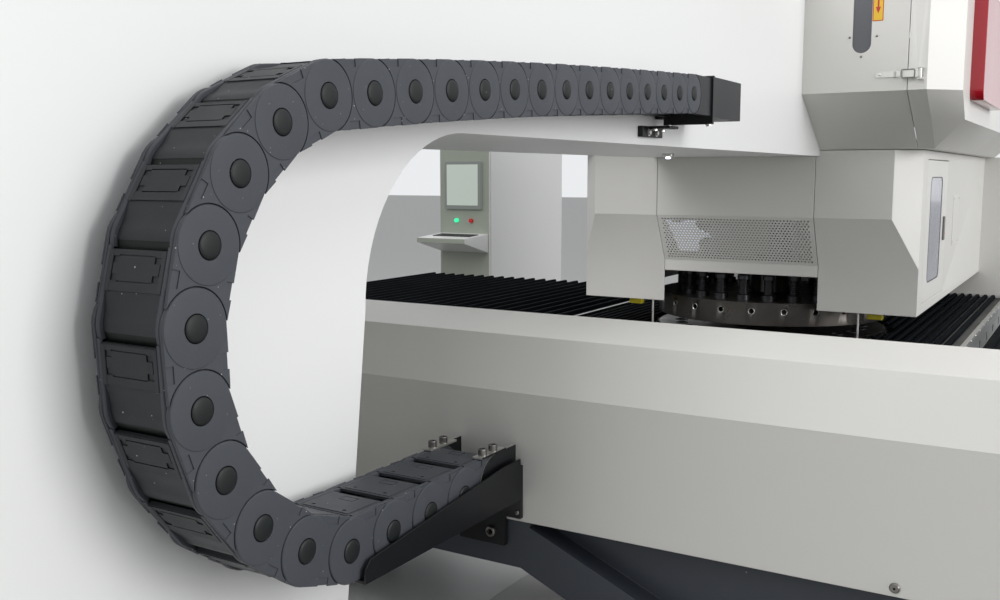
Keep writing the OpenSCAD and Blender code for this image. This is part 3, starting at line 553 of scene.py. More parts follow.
def grain_group() -> Tree:
    """Brushed grain: noise on coordinates that are squeezed along one direction.

    Returns:
        The group.
    """
    group, start, end = new_group("brushed_grain", dict.fromkeys(GRAIN_INPUTS, 1), "Value")
    stretch = group.nodes.new("ShaderNodeVectorMath")
    stretch.operation = "MULTIPLY"
    join = group.nodes.new("ShaderNodeCombineXYZ")
    for i, label in enumerate(GRAIN_INPUTS):
        group.links.new(start.outputs[label], join.inputs[i])
    group.links.new(start.outputs["Vector"], stretch.inputs[0])
    group.links.new(join.outputs[0], stretch.inputs[1])
    noise = group.nodes.new("ShaderNodeTexNoise")
    noise.inputs["Scale"].default_value = 1
    noise.inputs["Detail"].default_value = 3
    group.links.new(stretch.outputs[0], noise.inputs["Vector"])
    group.links.new(noise.outputs[0], end.inputs["Value"])
    return group


class Effects:
    """The shared node groups, made once."""

    def __init__(self) -> None:
        """Makes the three groups."""
        self.specks = speck_group()
        self.clouds = cloud_group()
        self.grain = grain_group()

    def place(self, tree: Tree, group: Tree, values: dict[str, float]) -> object:
        """Puts a group into a material on Object coordinates, with its own values.

        Args:
            tree: The material's nodes.
            group: The shared group.
            values: Its own values, by input.
        Returns:
            The group's output.
        """
        where = tree.nodes.new("ShaderNodeTexCoord")
        node = tree.nodes.new("ShaderNodeGroup")
        node.node_tree = group
        tree.links.new(where.outputs["Object"], node.inputs["Vector"])
        for label, value in values.items():
            node.inputs[label].default_value = value
        return node.outputs[0]


Colour = tuple[float, float, float]


def mix(tree: Tree, share: object, a: object, b: object) -> object:
    """Blends two colours, each a socket or a triple, by a share.

    Args:
        tree: The node tree.
        share: How much of the second colour shows, from 0 to 1.
        a: First colour.
        b: Second colour.
    Returns:
        The result's socket.
    """
    node = tree.nodes.new("ShaderNodeMix")
    node.data_type = "RGBA"
    tree.links.new(share, node.inputs[0])
    for index, value in zip(MIX_INPUTS, (a, b)):
        if isinstance(value, tuple):
            node.inputs[index].default_value = (*value, 1)
        else:
            tree.links.new(value, node.inputs[index])
    return node.outputs[MIX_RESULT]


def spread(tree: Tree, value: object, lo: float, hi: float) -> object:
    """Maps 0 to 1 onto lo to hi."""
    return math_node(tree, "ADD", math_node(tree, "MULTIPLY", value, hi - lo), lo)


@dataclass(frozen=True)
class Finish:
    """One surface finish, which becomes a material.

    base is its colour, dark the colour in its clouds and on toned points, dust the colour of its specks.
    """

    name: str
    base: Colour
    dark: Colour
    rough: tuple[float, float] = (0.4, 0.5)
    metallic: float = 0.0
    specular: float = 0.5
    cloud: float = 3.0
    cloud_share: float = 0.3
    tone_colour: Colour = (0.01, 0.01, 0.01)
    specks: tuple[float, float, float] = (0.0, 0.2, 0.3)
    speck_colour: Colour = (0.6, 0.6, 0.58)
    bump: float = 0.0
    bump_scale: float = 400.0
    grain: Colour = (0.0, 0.0, 0.0)
    coat: float = 0.0
    glow: float = 0.0

    def material(self, effects: Effects) -> bpy.types.Material:
        """Builds the material's nodes.

        Args:
            effects: The shared groups.
        Returns:
            The material.
        """
        made = bpy.data.materials.new(self.name)
        made.use_nodes = True
        tree = made.node_tree
        shader = tree.nodes["Principled BSDF"]
        clouds = effects.place(tree, effects.clouds, {"Scale": self.cloud, "Contrast": CLOUD_CONTRAST})
        colour = mix(tree, math_node(tree, "MULTIPLY", clouds, self.cloud_share), self.base, self.dark)
        tone = tree.nodes.new("ShaderNodeAttribute")
        tone.attribute_name = "tone"
        colour = mix(tree, tone.outputs["Fac"], colour, self.tone_colour)
        if self.specks[0] > 0:
            scale, size, share = self.specks
            mask = effects.place(tree, effects.specks, {"Scale": scale, "Size": size, "Share": share})
            colour = mix(tree, mask, colour, self.speck_colour)
        tree.links.new(colour, shader.inputs["Base Color"])
        tree.links.new(spread(tree, clouds, *self.rough), shader.inputs["Roughness"])
        shader.inputs["Metallic"].default_value = self.metallic
        shader.inputs["Specular IOR Level"].default_value = self.specular
        shader.inputs["Coat Weight"].default_value = self.coat
        height = None
        if any(self.grain):
            height = effects.place(tree, effects.grain, dict(zip(GRAIN_INPUTS, self.grain)))
        elif self.bump > 0:
            height = effects.place(tree, effects.clouds, {"Scale": self.bump_scale, "Contrast": 1.0})
        if height is not None and self.bump > 0:
            bump = tree.nodes.new("ShaderNodeBump")
            bump.inputs["Strength"].default_value = self.bump
            bump.inputs["Distance"].default_value = BUMP_DEPTH
            tree.links.new(height, bump.inputs["Height"])
            tree.links.new(bump.outputs[0], shader.inputs["Normal"])
        if self.glow > 0:
            shader.inputs["Emission Color"].default_value = (*self.base, 1)
            shader.inputs["Emission Strength"].default_value = self.glow
        return made


WARM_GREY: Colour = (0.69, 0.68, 0.645)
FINISHES: dict[str, Finish] = {f.name: f for f in (
    Finish("white_paint", (0.805, 0.81, 0.805), (0.80, 0.80, 0.785), (0.32, 0.40), cloud=1.2, bump=0.05),
    Finish("base_paint", (0.60, 0.60, 0.58), (0.55, 0.55, 0.53), (0.40, 0.50), specks=(28, 0.10, 0.5),
           speck_colour=(0.10, 0.09, 0.08)),
    Finish("grey_paint", WARM_GREY, (0.65, 0.64, 0.605), (0.34, 0.44), cloud=2.2, bump=0.08),
    Finish("door_paint", (0.71, 0.70, 0.67), (0.67, 0.66, 0.63), (0.34, 0.42), cloud=2.0, bump=0.08),
    Finish("bare_steel", (0.42, 0.42, 0.41), (0.25, 0.25, 0.24), (0.30, 0.48), 1.0, cloud=9, bump=0.2,
           grain=(300, 300, 14)),
    Finish("ground_steel", (0.56, 0.56, 0.55), (0.42, 0.42, 0.41), (0.22, 0.34), 1.0, cloud=7, bump=0.15,
           grain=(14, 300, 300)),
    Finish("motor_black", (0.022, 0.022, 0.024), (0.015, 0.015, 0.016), (0.4, 0.5), bump=0.25),
    Finish("table_steel", (0.40, 0.41, 0.41), (0.28, 0.28, 0.28), (0.35, 0.5), 0.9, cloud=6, bump=0.2,
           grain=(200, 12, 200)),
    Finish("brush", (0.008, 0.010, 0.012), (0.004, 0.005, 0.006), (0.6, 0.8), specular=0.02, bump=0.9,
           grain=(900, 900, 60)),
    Finish("window", (0.10, 0.105, 0.12), (0.07, 0.07, 0.08), (0.10, 0.18), coat=0.4),
    Finish("zinc", (0.66, 0.655, 0.62), (0.50, 0.49, 0.46), (0.24, 0.38), 0.9, cloud=40,
           tone_colour=(0.035, 0.037, 0.042)),
    Finish("badge_red", (0.42, 0.008, 0.018), (0.34, 0.005, 0.012), (0.16, 0.26), coat=0.6),
    Finish("arrow_yellow", (0.80, 0.50, 0.02), (0.74, 0.44, 0.02), (0.35, 0.45),
           tone_colour=(0.55, 0.02, 0.01)),
    Finish("turret_steel", (0.13, 0.12, 0.11), (0.05, 0.045, 0.04), (0.22, 0.40), 0.9, cloud=10,
           cloud_share=0.8, bump=0.15, bump_scale=120),
    Finish("tool_steel", (0.07, 0.07, 0.075), (0.03, 0.03, 0.032), (0.25, 0.42), 0.8, cloud=25,
           tone_colour=(0.42, 0.42, 0.40)),
    Finish("casting_paint", (0.028, 0.034, 0.046), (0.05, 0.056, 0.068), (0.45, 0.60), cloud=5,
           cloud_share=0.7, specks=(90, 0.14, 0.22), speck_colour=(0.30, 0.30, 0.29), bump=0.35,
           bump_scale=160),
    Finish("carriage_paint", (0.035, 0.04, 0.052), (0.05, 0.055, 0.062), (0.4, 0.5), bump=0.3,
           bump_scale=160),
    Finish("jaw_steel", (0.16, 0.16, 0.165), (0.09, 0.09, 0.09), (0.3, 0.42), 0.9, cloud=30),
    Finish("chain_plastic", (0.058, 0.062, 0.073), (0.043, 0.047, 0.054), (0.42, 0.58), specular=0.3,
           cloud=14, cloud_share=0.6, tone_colour=(0.001, 0.003, 0.002), specks=(200, 0.20, 0.12),
           speck_colour=(0.42, 0.42, 0.40), bump=0.25, bump_scale=500),
    Finish("black_sheet", (0.006, 0.0065, 0.008), (0.010, 0.010, 0.011), (0.30, 0.42), specular=0.3,
           bump=0.2, bump_scale=700, specks=(120, 0.10, 0.12), speck_colour=(0.20, 0.20, 0.19)),
    Finish("screw_steel", (0.26, 0.25, 0.235), (0.10, 0.095, 0.09), (0.28, 0.42), 1.0, cloud=120,
           cloud_share=0.8),
    Finish("console_paint", (0.80, 0.80, 0.79), (0.77, 0.77, 0.76), (0.36, 0.46), bump=0.08,
           tone_colour=(0.33, 0.355, 0.30)),
    Finish("screen", (0.52, 0.58, 0.52), (0.45, 0.52, 0.46), (0.10, 0.16), glow=0.25,
           tone_colour=(0.03, 0.03, 0.035)),
    # Its slight glow is painted brightness: the red marks on the hood doors that wear it are no lamps.
    Finish("button_red", (0.50, 0.012, 0.012), (0.42, 0.01, 0.01), (0.2, 0.3), glow=0.2),
    Finish("button_green", (0.03, 0.62, 0.28), (0.02, 0.55, 0.24), (0.2, 0.3), glow=1.2),
    Finish("lamp_glow", (0.80, 0.86, 1.0), (0.80, 0.86, 1.0), (0.2, 0.3), glow=2.2),
    # A glow that paints the reflections seen through the hood's holes; the patch that wears it is no lamp.
    Finish("inner_glow", (0.80, 0.86, 1.0), (0.80, 0.86, 1.0), (0.2, 0.3), glow=0.6),
    Finish("seal_rubber", (0.07, 0.07, 0.074), (0.05, 0.05, 0.052), (0.5, 0.6)),
    Finish("hood_glass", (0.40, 0.41, 0.46), (0.22, 0.23, 0.28), (0.12, 0.2), cloud=5, cloud_share=0.7,
           coat=0.3),
    Finish("sticker_red", (0.50, 0.02, 0.015), (0.46, 0.02, 0.015), (0.4, 0.5)),
    Finish("warning_yellow", (0.78, 0.66, 0.02), (0.70, 0.58, 0.02), (0.4, 0.5), bump=0.1),
)}


class Paintshop:
    """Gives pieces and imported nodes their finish."""

    def __init__(self) -> None:
        """Makes every material once and reads each node's slot and body from the record."""
        effects = Effects()
        record = frame["record"]
        self.materials = {name: finish.material(effects) for name, finish in FINISHES.items()}
        self.slots = {row["node"]: row["material_slot"] for row in record["subparts"]}
        bodies = record["behaviour"]["bodies"]
        self.bodies = {node: body for body, nodes in bodies.items() for node in nodes}

    def dress(self, piece: Piece, finish: str, body: str | None = None,
              slot: str | None = None) -> Piece:
        """Gives a new piece its material and the body that it rides on.

        Args:
            piece: The new piece.
            finish: Name of its finish.
            body: The body that it rides on.
            slot: Its slot, where that isn't the finish's name; it is not used.
        Returns:
            The same piece.
        """
        piece.data.materials.clear()
        piece.data.materials.append(self.materials[finish])
        if (slot or finish) in self.slots.values():
            slot or finish
        if body is not None:
            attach(piece, body)
        return piece

    def stand_in(self, made: Shell, name: str, *nodes: str, sharp: float = 32.0,
                 merge: bool = True) -> Piece:
        """Builds a piece that takes the place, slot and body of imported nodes.

        Args:
            made: The shell that becomes the piece.
            name: Name of the piece.
            nodes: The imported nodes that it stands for.
            sharp: Angle past which an edge stays sharp, in degrees.
            merge: True to weld points that lie together.
        Returns:
            The new piece.
        """
        piece = self.dress(made.build(name, sharp, merge), self.slots[nodes[0]], self.bodies[nodes[0]])
        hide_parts(*nodes)
        return piece

    def trim(self, made: Shell, name: str, finish: str, body: str, slot: str | None = None) -> Piece:
        """Builds a small added piece and dresses it."""
        return self.dress(made.build(name), finish, body, slot)

    def wrap(self, node: str, width: float = 1.5, segments: int = 2, angle: float = 32.0) -> Piece:
        """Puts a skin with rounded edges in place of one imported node."""
        return self.dress(skin_of(node, node + "_skin", width, segments, angle), self.slots[node],
                          self.bodies[node])

    def wrap_all(self, widths: dict[str, float]) -> None:
        """Puts a skin in place of each node, given the widths of their edges."""
        for node, width in widths.items():
            self.wrap(node, width)

    def dress_nodes(self) -> None:
        """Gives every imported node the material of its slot."""
        for name, slot in self.slots.items():
            node = frame["nodes"][name]
            for index in range(len(node.material_slots)):
                node.material_slots[index].material = self.materials[slot]


def pan_head(made: Shell, place: Sequence[float], axis: Axis, way: float, r: float = 6.0) -> None:
    """A low round screw head with a cross recess painted dark as its shade: a flat dome turned round its
    axis.

    Args:
        made: The shell that takes it.
        place: Middle of its foot.
        axis: The axis that it is turned round.
        way: 1 where it points along the axis, -1 where it points against it.
        r: Its radius.
    """
    dome = [(0.0, 0.0), (r, 0.0), (r, 0.25 * r), (0.8 * r, 0.5 * r), (0.4 * r, 0.6 * r), (0.0, 0.6 * r)]
    recess = [(0.0, 0.55 * r), (0.3 * r, 0.55 * r), (0.3 * r, 0.64 * r), (0.0, 0.64 * r)]
    made.lathe(dome, place, axis, 18, way=way)
    # The recess is a thin square painted near black: painted shade in the cross.
    made.lathe(recess, place, axis, 4, tone=1.0, way=way)


def socket_head(made: Shell, place: Sequence[float], axis: Axis, r: float = 6.5,
                height: float = 9.0) -> None:
    """A socket cap screw: a short cylinder with a round recess whose six-sided floor is painted dark as the
    shade in the socket.

    Args:
        made: The shell that takes it.
        place: Middle of its foot.
        axis: The axis that it is turned round.
        r: Its radius.
        height: Its height.
    """
    floor = height - 4.0
    cap = [(0.0, 0.0), (r, 0.0), (r, height - 0.9), (r - 0.9, height), (0.58 * r, height),
           (0.54 * r, floor), (0.0, floor)]
    key = [(0.0, floor - 0.1), (0.52 * r, floor - 0.1), (0.52 * r, floor + 0.2), (0.0, floor + 0.2)]
    made.lathe(cap, place, axis, 24)
    # The socket's floor is painted near black: painted shade.
    made.lathe(key, place, axis, 6, tone=1.0)


def hex_bolt(made: Shell, place: Sequence[float], axis: Axis, way: float, r: float) -> None:
    """A six-sided bolt head on a round washer.

    Args:
        made: The shell that takes it.
        place: Middle of its foot.
        axis: The axis that it is turned round.
        way: 1 where it points along the axis, -1 where it points against it.
        r: Radius over its corners.
    """
    washer = [(0.0, 0.0), (1.35 * r, 0.0), (1.35 * r, 1.4), (0.0, 1.4)]
    head = [(0.0, 1.2), (r, 1.2), (r, 0.7 * r), (0.85 * r, 0.8 * r), (0.0, 0.8 * r)]
    made.lathe(washer, place, axis, 24, tone=0.15, way=way)
    made.lathe(head, place, axis, 6, way=way)


# The drag chain


@dataclass
class DragChain:
    """The cable carrier: links of side plates, lids and pivots, laid along one curve of pivots."""

    pitch: float = 80.0
    radius: float = 39.0
    width: float = 102.0
    near: float = -432.0
    start_y: float = 1746.0
    start_z: float = 1717.5
    run: int = 14
    loop: int = 10
    low: int = 3
    slope: float = 3.07
    sag: float = 2.93
    turn: float = 17.31
    layer: float = 6.0
    cap: float = 13.5
    tail_reach: float = 67.0
    loop_travel: float = 0.85  # metres, half of the beam's travel

    def angle(self, i: int) -> float:
        """Downward angle of link i: a slow sag over the run, then equal steps to a half turn.

        Args:
            i: Number of the link, from the fixed end.
        Returns:
            The angle in degrees.
        """
        if i < self.run:
            return self.slope + self.sag * (i / self.run) ** 2
        return min(180.0, self.slope + self.sag + self.turn * (i - self.run + 1))

    def pivots(self) -> Array:
        """Places of all pivots in Y and Z, each one pitch on from the last along its link's angle.

        Returns:
            Points of shape (links + 1, 2), in millimetres.
        """
        count = self.run + self.loop + self.low
        a = np.radians([self.angle(i) for i in range(count)])
        step = np.column_stack([np.cos(a), -np.sin(a)]) * self.pitch
        return np.vstack([[0.0, 0.0], np.cumsum(step, 0)]) + [self.start_y, self.start_z]

    def tail(self, gap: float) -> Array:
        """Outline of a side plate: a half disc, straight edges and a hollow end round the next pivot.

        Args:
            gap: Clearance round the next pivot.
        Returns:
            Points of shape (38, 2).
        """
        r, p = self.radius, self.pitch
        rise = math.degrees(math.acos((p - self.tail_reach) / (r + gap)))
        return np.vstack([arc(0, 0, r, 90, 270, 20), arc(p, 0, r + gap, 180 + rise, 180 - rise, 18)])

    def notched(self) -> Array:
        """Outline of the raised face of a side plate, with one step cut into each long edge.

        Returns:
            Points of shape (46, 2).
        """
        r = self.radius
        plain = self.tail(1.3)
        y0, y1, z = 30.0, 47.0, r - 9.5
        low = [[y0, -r], [y0, -z], [y1, -z], [y1, -r]]
        high = [[y1, r], [y1, z], [y0, z], [y0, r]]
        return np.vstack([plain[:20], low, plain[20:], high])

    def link(self) -> Shell:
        """One link at the origin, with the next pivot along +Y and the outside of the bend along +Z.

        Returns:
            The link.
        """
        r, p, w, t, c = self.radius, self.pitch, self.width, self.layer, self.cap
        made = Shell()
        disc = [(0.0, 5.5), (r - 0.2, 5.5), (r - 0.2, 1.0), (r - 1.0, 0.1), (r - 1.7, 0.0),
                (c + 1.1, 0.0), (c + 0.9, 0.9), (0.0, 0.9)]
        dome = [(0.0, 1.2), (c, 1.2), (c, -0.3), (c - 0.7, -1.0), (c * 0.75, -1.7), (c * 0.4, -2.2),
                (0.0, -2.4)]
        far = np.vstack([arc(p, 0, r - 0.3, -90, 90, 20), [[10, r - 0.3], [10, -r + 0.3]]])

        def across(way: float, a: float, b: float) -> tuple[float, float]:
            """Two depths below one side's face, as places along X in rising order."""
            return (a, b) if way > 0 else (w - b, w - a)

        for face, way in ((0.0, 1.0), (w, -1.0)):
            made.slab(self.tail(0.8), Axis.X, *across(way, 2.2, t), 0.8)
            made.slab(self.notched(), Axis.X, *across(way, 0.9, 2.6), 0.3)
            made.lathe(disc, (face, 0, 0), Axis.X, 56, way=way)
            made.lathe(dome, (face, 0, 0), Axis.X, 28, tone=0.9, way=way)
            made.slab(far, Axis.X, *across(way, t + 0.3, 2 * t), 1.0)
        self.outer_lid(made)
        self.inner_lid(made)
        return made

    def outer_lid(self, made: Shell) -> None:
        """The lid on the outside of the bend: flat, then sinking, then an arc round the next pivot; the
        crescent at its end and the latch's holes and grooves are painted dark as shade.

        Args:
            made: The shell that takes it.
        """
        r, p, w, t = self.radius, self.pitch, self.width, self.layer
        x0, x1 = 2 * t - 0.2, w - 2 * t + 0.2
        sink = np.linspace(0, 1, 9)
        top = np.column_stack([50 + (p - 50) * sink, r - 1.4 - 3.6 * sink ** 2 * (3 - 2 * sink)])
        bright = arc(p, 0, r - 5.0, 87, 66, 8)
        under = arc(p, 0, r - 7.5, 66, 90, 8)
        lid = np.vstack([[[13.5, r - 6.5], [13.5, r - 1.4]], top, bright, under, [[60, r - 6.5]]])
        made.slab(lid, Axis.X, x0, x1, 0.5, tone=0.6)
        # The dark crescent below the tongue is painted shadow, the shade in the step under the next link's
        # raised edge.
        dark = np.vstack([arc(p, 0, r - 5.4, 66, 44, 8), arc(p, 0, r - 7.6, 44, 66, 8)])
        made.slab(dark, Axis.X, x0 + 0.4, x1 - 0.4, 0.2, tone=1.0)
        edge = np.array([[14.5, r - 5], [14.5, r + 0.2], [54, r + 0.2], [58, r - 5]])
        for a, b in ((x0 - 0.1, x0 + 5.5), (x1 - 5.5, x1 + 0.1)):
            made.slab(edge, Axis.X, a, b, 0.5, tone=0.5)
        xs = [x0 + 5.5, 17.0, 18.2, 26.0, 75.2, 83.0, 84.2, x1 - 5.5]
        ys = [14.5, 19.0, 20.2, 26.6, 37.8, 44.2, 45.4, 54.0]
        heights = np.full((7, 7), r - 0.2)
        heights[np.ix_((2, 4), (2, 4))] = r - 5.5
        heights[(1, 1, 1, 5, 5, 5), (2, 3, 4, 2, 3, 4)] = r - 3.0
        heights[(3, 3), (1, 5)] = r - 1.8
        # The latch's holes and grooves are painted near black as painted shade; the rest keeps the lid's
        # own darker tone.
        made.relief(xs, ys, heights, r - 6.2, lambda q: q, np.where(heights < r - 1, 1.0, 0.6))

    def inner_lid(self, made: Shell) -> None:
        """The lid on the inside of the bend, with two square holes painted dark as their shade and a faint
        raised field.

        Args:
            made: The shell that takes it.
        """
        r, w, t = self.radius, self.width, self.layer
        x0, x1 = 2 * t - 0.2, w - 2 * t + 0.2
        flat = np.array([[8, -r + 4.6], [8, -r + 0.8], [72, -r + 0.8], [72, -r + 4.6]])
        made.slab(flat, Axis.X, x0, x1, 0.4, tone=0.15)
        xs = [x0 + 4, 25.0, 29.5, 40.0, 41.2, 61.0, 62.2, 72.5, 77.0, x1 - 4]
        ys = [12.0, 17.0, 21.0, 50.0, 51.2, 62.0, 63.2, 68.0]
        heights = np.full((9, 7), r)
        heights[(1, 7), (1, 1)] = r - 4.5
        heights[np.ix_((3, 5), (3, 4, 5))] = r - 0.9
        heights[4, (3, 5)] = r - 0.9
        # The square holes are painted near black: painted shade in the recesses.
        tones = np.where(heights < r - 4, 1.0, 0.1)
        made.relief(xs, ys, heights, r - 4.6, lambda q: q * [1, 1, -1], tones)

    def stretch(self, first: int, last: int) -> Shell:
        """Links first to last, each turned to its own angle at its own pivot.

        Args:
            first: Number of the first link.
            last: Number after the last link.
        Returns:
            The links in one shell.
        """
        one = self.link()
        pivots = self.pivots()
        made = Shell()
        for i in range(first, last):
            a = math.radians(-self.angle(i))
            turn = np.array([[1, 0, 0], [0, math.cos(a), -math.sin(a)], [0, math.sin(a), math.cos(a)]])
            made.include(one, turn, (self.near, *pivots[i]))
        return made

    def make(self, shop: Paintshop) -> None:
        """Builds the three stretches of the chain and dresses them.

        Args:
            shop: Gives the pieces their finish, slot and body.
        """
        a, b, n = self.run, self.run + self.loop, self.run + self.loop + self.low
        pivots = self.pivots() * MM
        upper = shop.stand_in(self.stretch(0, a), "chain_upper_links", "chain_upper_run", merge=False)
        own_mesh(upper)
        shop.stand_in(self.stretch(a, b), "chain_loop_links", "chain_loop", merge=False)
        lower = shop.dress(self.stretch(b, n).build("chain_lower_links", merge=False), "chain_plastic")
        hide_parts("chain_lower_run")
        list(pivots[b])
        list(pivots[n])
        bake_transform(lower)
        LOG.info("drag chain: %d links", n)


# Frame, tables and brushes


def cell_ring(outer: Array, inner: Array, rows: Sequence[float], made: Shell, tone: float = 0.0,
              put: Callable[[Array], Array] = lambda q: q) -> None:
    """A flat plate with one hole, as quads between two outlines of equally many points.

    Args:
        outer: Outline of the plate, of shape (n, 2).
        inner: Outline of the hole, of shape (n, 2), point by point opposite the outer one.
        rows: The two heights of the plate's faces.
        made: The shell that takes the plate.
        tone: A number for the finish.
        put: Turns points (across, along, height) into space.
    """
    lo, hi = rows
    loops = [(outer, lo), (outer, hi), (inner, hi), (inner, lo), (outer, lo)]
    rings = np.stack([put(np.column_stack([flat, np.full(len(flat), z)])) for flat, z in loops])
    made.rings(rings, tone, ends=False)


def brush_strips(made: Shell, spans: Sequence[tuple[float, float, float]], z0: float, width: float = 19.0,
                 height: float = 15.0, tuft: float = 13.0) -> None:
    """Brush strips: each is a low holder with a row of bristle tufts that narrow a little to their tips.

    Args:
        made: The shell that takes them.
        spans: Rows of (middle of the strip in X, start in Y, end in Y).
        z0: Height of the holders' foot.
        width: Width of a holder.
        height: Height of the whole strip.
        tuft: Distance from tuft to tuft.
    """
    boxes = []
    for x, y0, y1 in spans:
        boxes.append([[x - width / 2, y0, 0.0], [x + width / 2, y1, 6.0], [0.0, 0.0, 0.0]])
        n = max(1, int((y1 - y0) / tuft))
        step = (y1 - y0) / n
        y = y0 + step * np.arange(n)
        foot = np.column_stack([np.full(n, x - width / 2 + 1), y + 0.4, np.full(n, 5.9)])
        tip = np.column_stack([np.full(n, x + width / 2 - 1), y + step - 0.4, np.full(n, height)])
        boxes.extend(np.stack([foot, tip, np.tile([2.2, 0.9, 0.0], (n, 1))], 1))
    b = np.asarray(boxes, float)
    lo, hi, cut = b[:, 0], b[:, 1], b[:, 2]
    corners = np.empty((len(b), 8, 3))
    ring = ((0, 0), (1, 0), (1, 1), (0, 1))
    for k, (u, v, w) in enumerate([(*at, 0) for at in ring] + [(*at, 1) for at in ring]):
        corners[:, k, 0] = np.where(u, hi[:, 0] - w * cut[:, 0], lo[:, 0] + w * cut[:, 0])
        corners[:, k, 1] = np.where(v, hi[:, 1] - w * cut[:, 1], lo[:, 1] + w * cut[:, 1])
        corners[:, k, 2] = np.where(w, hi[:, 2], lo[:, 2]) + z0
    sides = np.array([[0, 3, 2, 1], [4, 5, 6, 7], [0, 1, 5, 4], [1, 2, 6, 5], [2, 3, 7, 6], [3, 0, 4, 7]])
    faces = (np.arange(len(b))[:, None, None] * 8 + sides).reshape(-1, 4)
    made.add(corners.reshape(-1, 3), faces.tolist())


@dataclass
class Frame:
    """The welded frame, its wings, feet and rails, and the work light under its soffit."""

    soffit: float = 1619.0
    light_at: tuple[float, float] = (-14.0, 826.0)
    light_half: tuple[float, float] = (16.0, 14.0)
    tray_depth: float = 9.0
    tube_depth: float = 7.0
    screw_ends: tuple[float, float, float] = (380.0, 422.0, 2479.7)
    screw_z: float = 886.0
    screw_r: float = 25.0
    screw_sides: int = 20
    journal_step: float = 4.0
    lead: float = 40.0
    groove: tuple[float, float] = (2.4, 0.17)

    def make(self, shop: Paintshop) -> None:
        """Rounds the frame's edges and hangs the light.

        Args:
            shop: Gives the pieces their finish, slot and body.
        """
        shop.wrap("main_frame", 2.5, 3)
        shop.wrap_all({"base_wings": 2.0, "y_rails": 1.0, "levelling_feet": 2.0, "y_motor": 2.0,
                       "ram_drive": 1.5, "turret_motor": 2.5})
        (x, y), (a, b) = self.light_at, self.light_half
        low = self.soffit - self.tray_depth
        tray, tube = Shell(), Shell()
        tray.slab(box_outline((x - a, y - b), (x + a, y + b), 6), Axis.Z, low, self.soffit, 1.5)
        bulb = box_outline((x - a + 8, y - b + 7), (x + a - 8, y + b - 7), 5)
        tube.slab(bulb, Axis.Z, low - self.tube_depth, low, 3.0)
        shop.trim(tray, "soffit_light_tray", "zinc", "frame")
        shop.trim(tube, "soffit_light_tube", "lamp_glow", "frame")
        self.screw(shop)
        LOG.info("frame: seven rounded nodes, one light, the screw")

    def screw(self, shop: Paintshop) -> None:
        """The ball screw: its radius falls in a round groove that climbs one lead a turn.

        Args:
            shop: Gives the pieces their finish, slot and body.
        """
        start, y0, y1 = self.screw_ends
        z, r, thin = self.screw_z, self.screw_r, self.screw_r - self.journal_step
        y = np.arange(y0 + 20, y1 - 20, 4.0)
        a = np.arange(self.screw_sides) * 2 * np.pi / self.screw_sides
        phase = (y[:, None] / self.lead + a[None, :] / (2 * np.pi)) % 1.0
        deep, wide = self.groove
        rad = r - deep * np.sqrt(np.clip(1 - ((phase - 0.5) / wide) ** 2, 0, 1))
        rings = np.stack([rad * np.cos(a), np.repeat(y[:, None], len(a), 1), z + rad * np.sin(a)], -1)

        def ring(radius: float, place: float) -> Array:
            """A plain circle round the screw's axis."""
            return np.stack([radius * np.cos(a), np.full(len(a), place), z + radius * np.sin(a)], -1)

        made = Shell()
        made.rings(np.stack([ring(thin, start), ring(thin, y0), ring(r, y0), ring(r, y0 + 16), *rings,
                             ring(r, y1 - 16), ring(r, y1)]))
        shop.stand_in(made, "y_screw_thread", "y_screw")


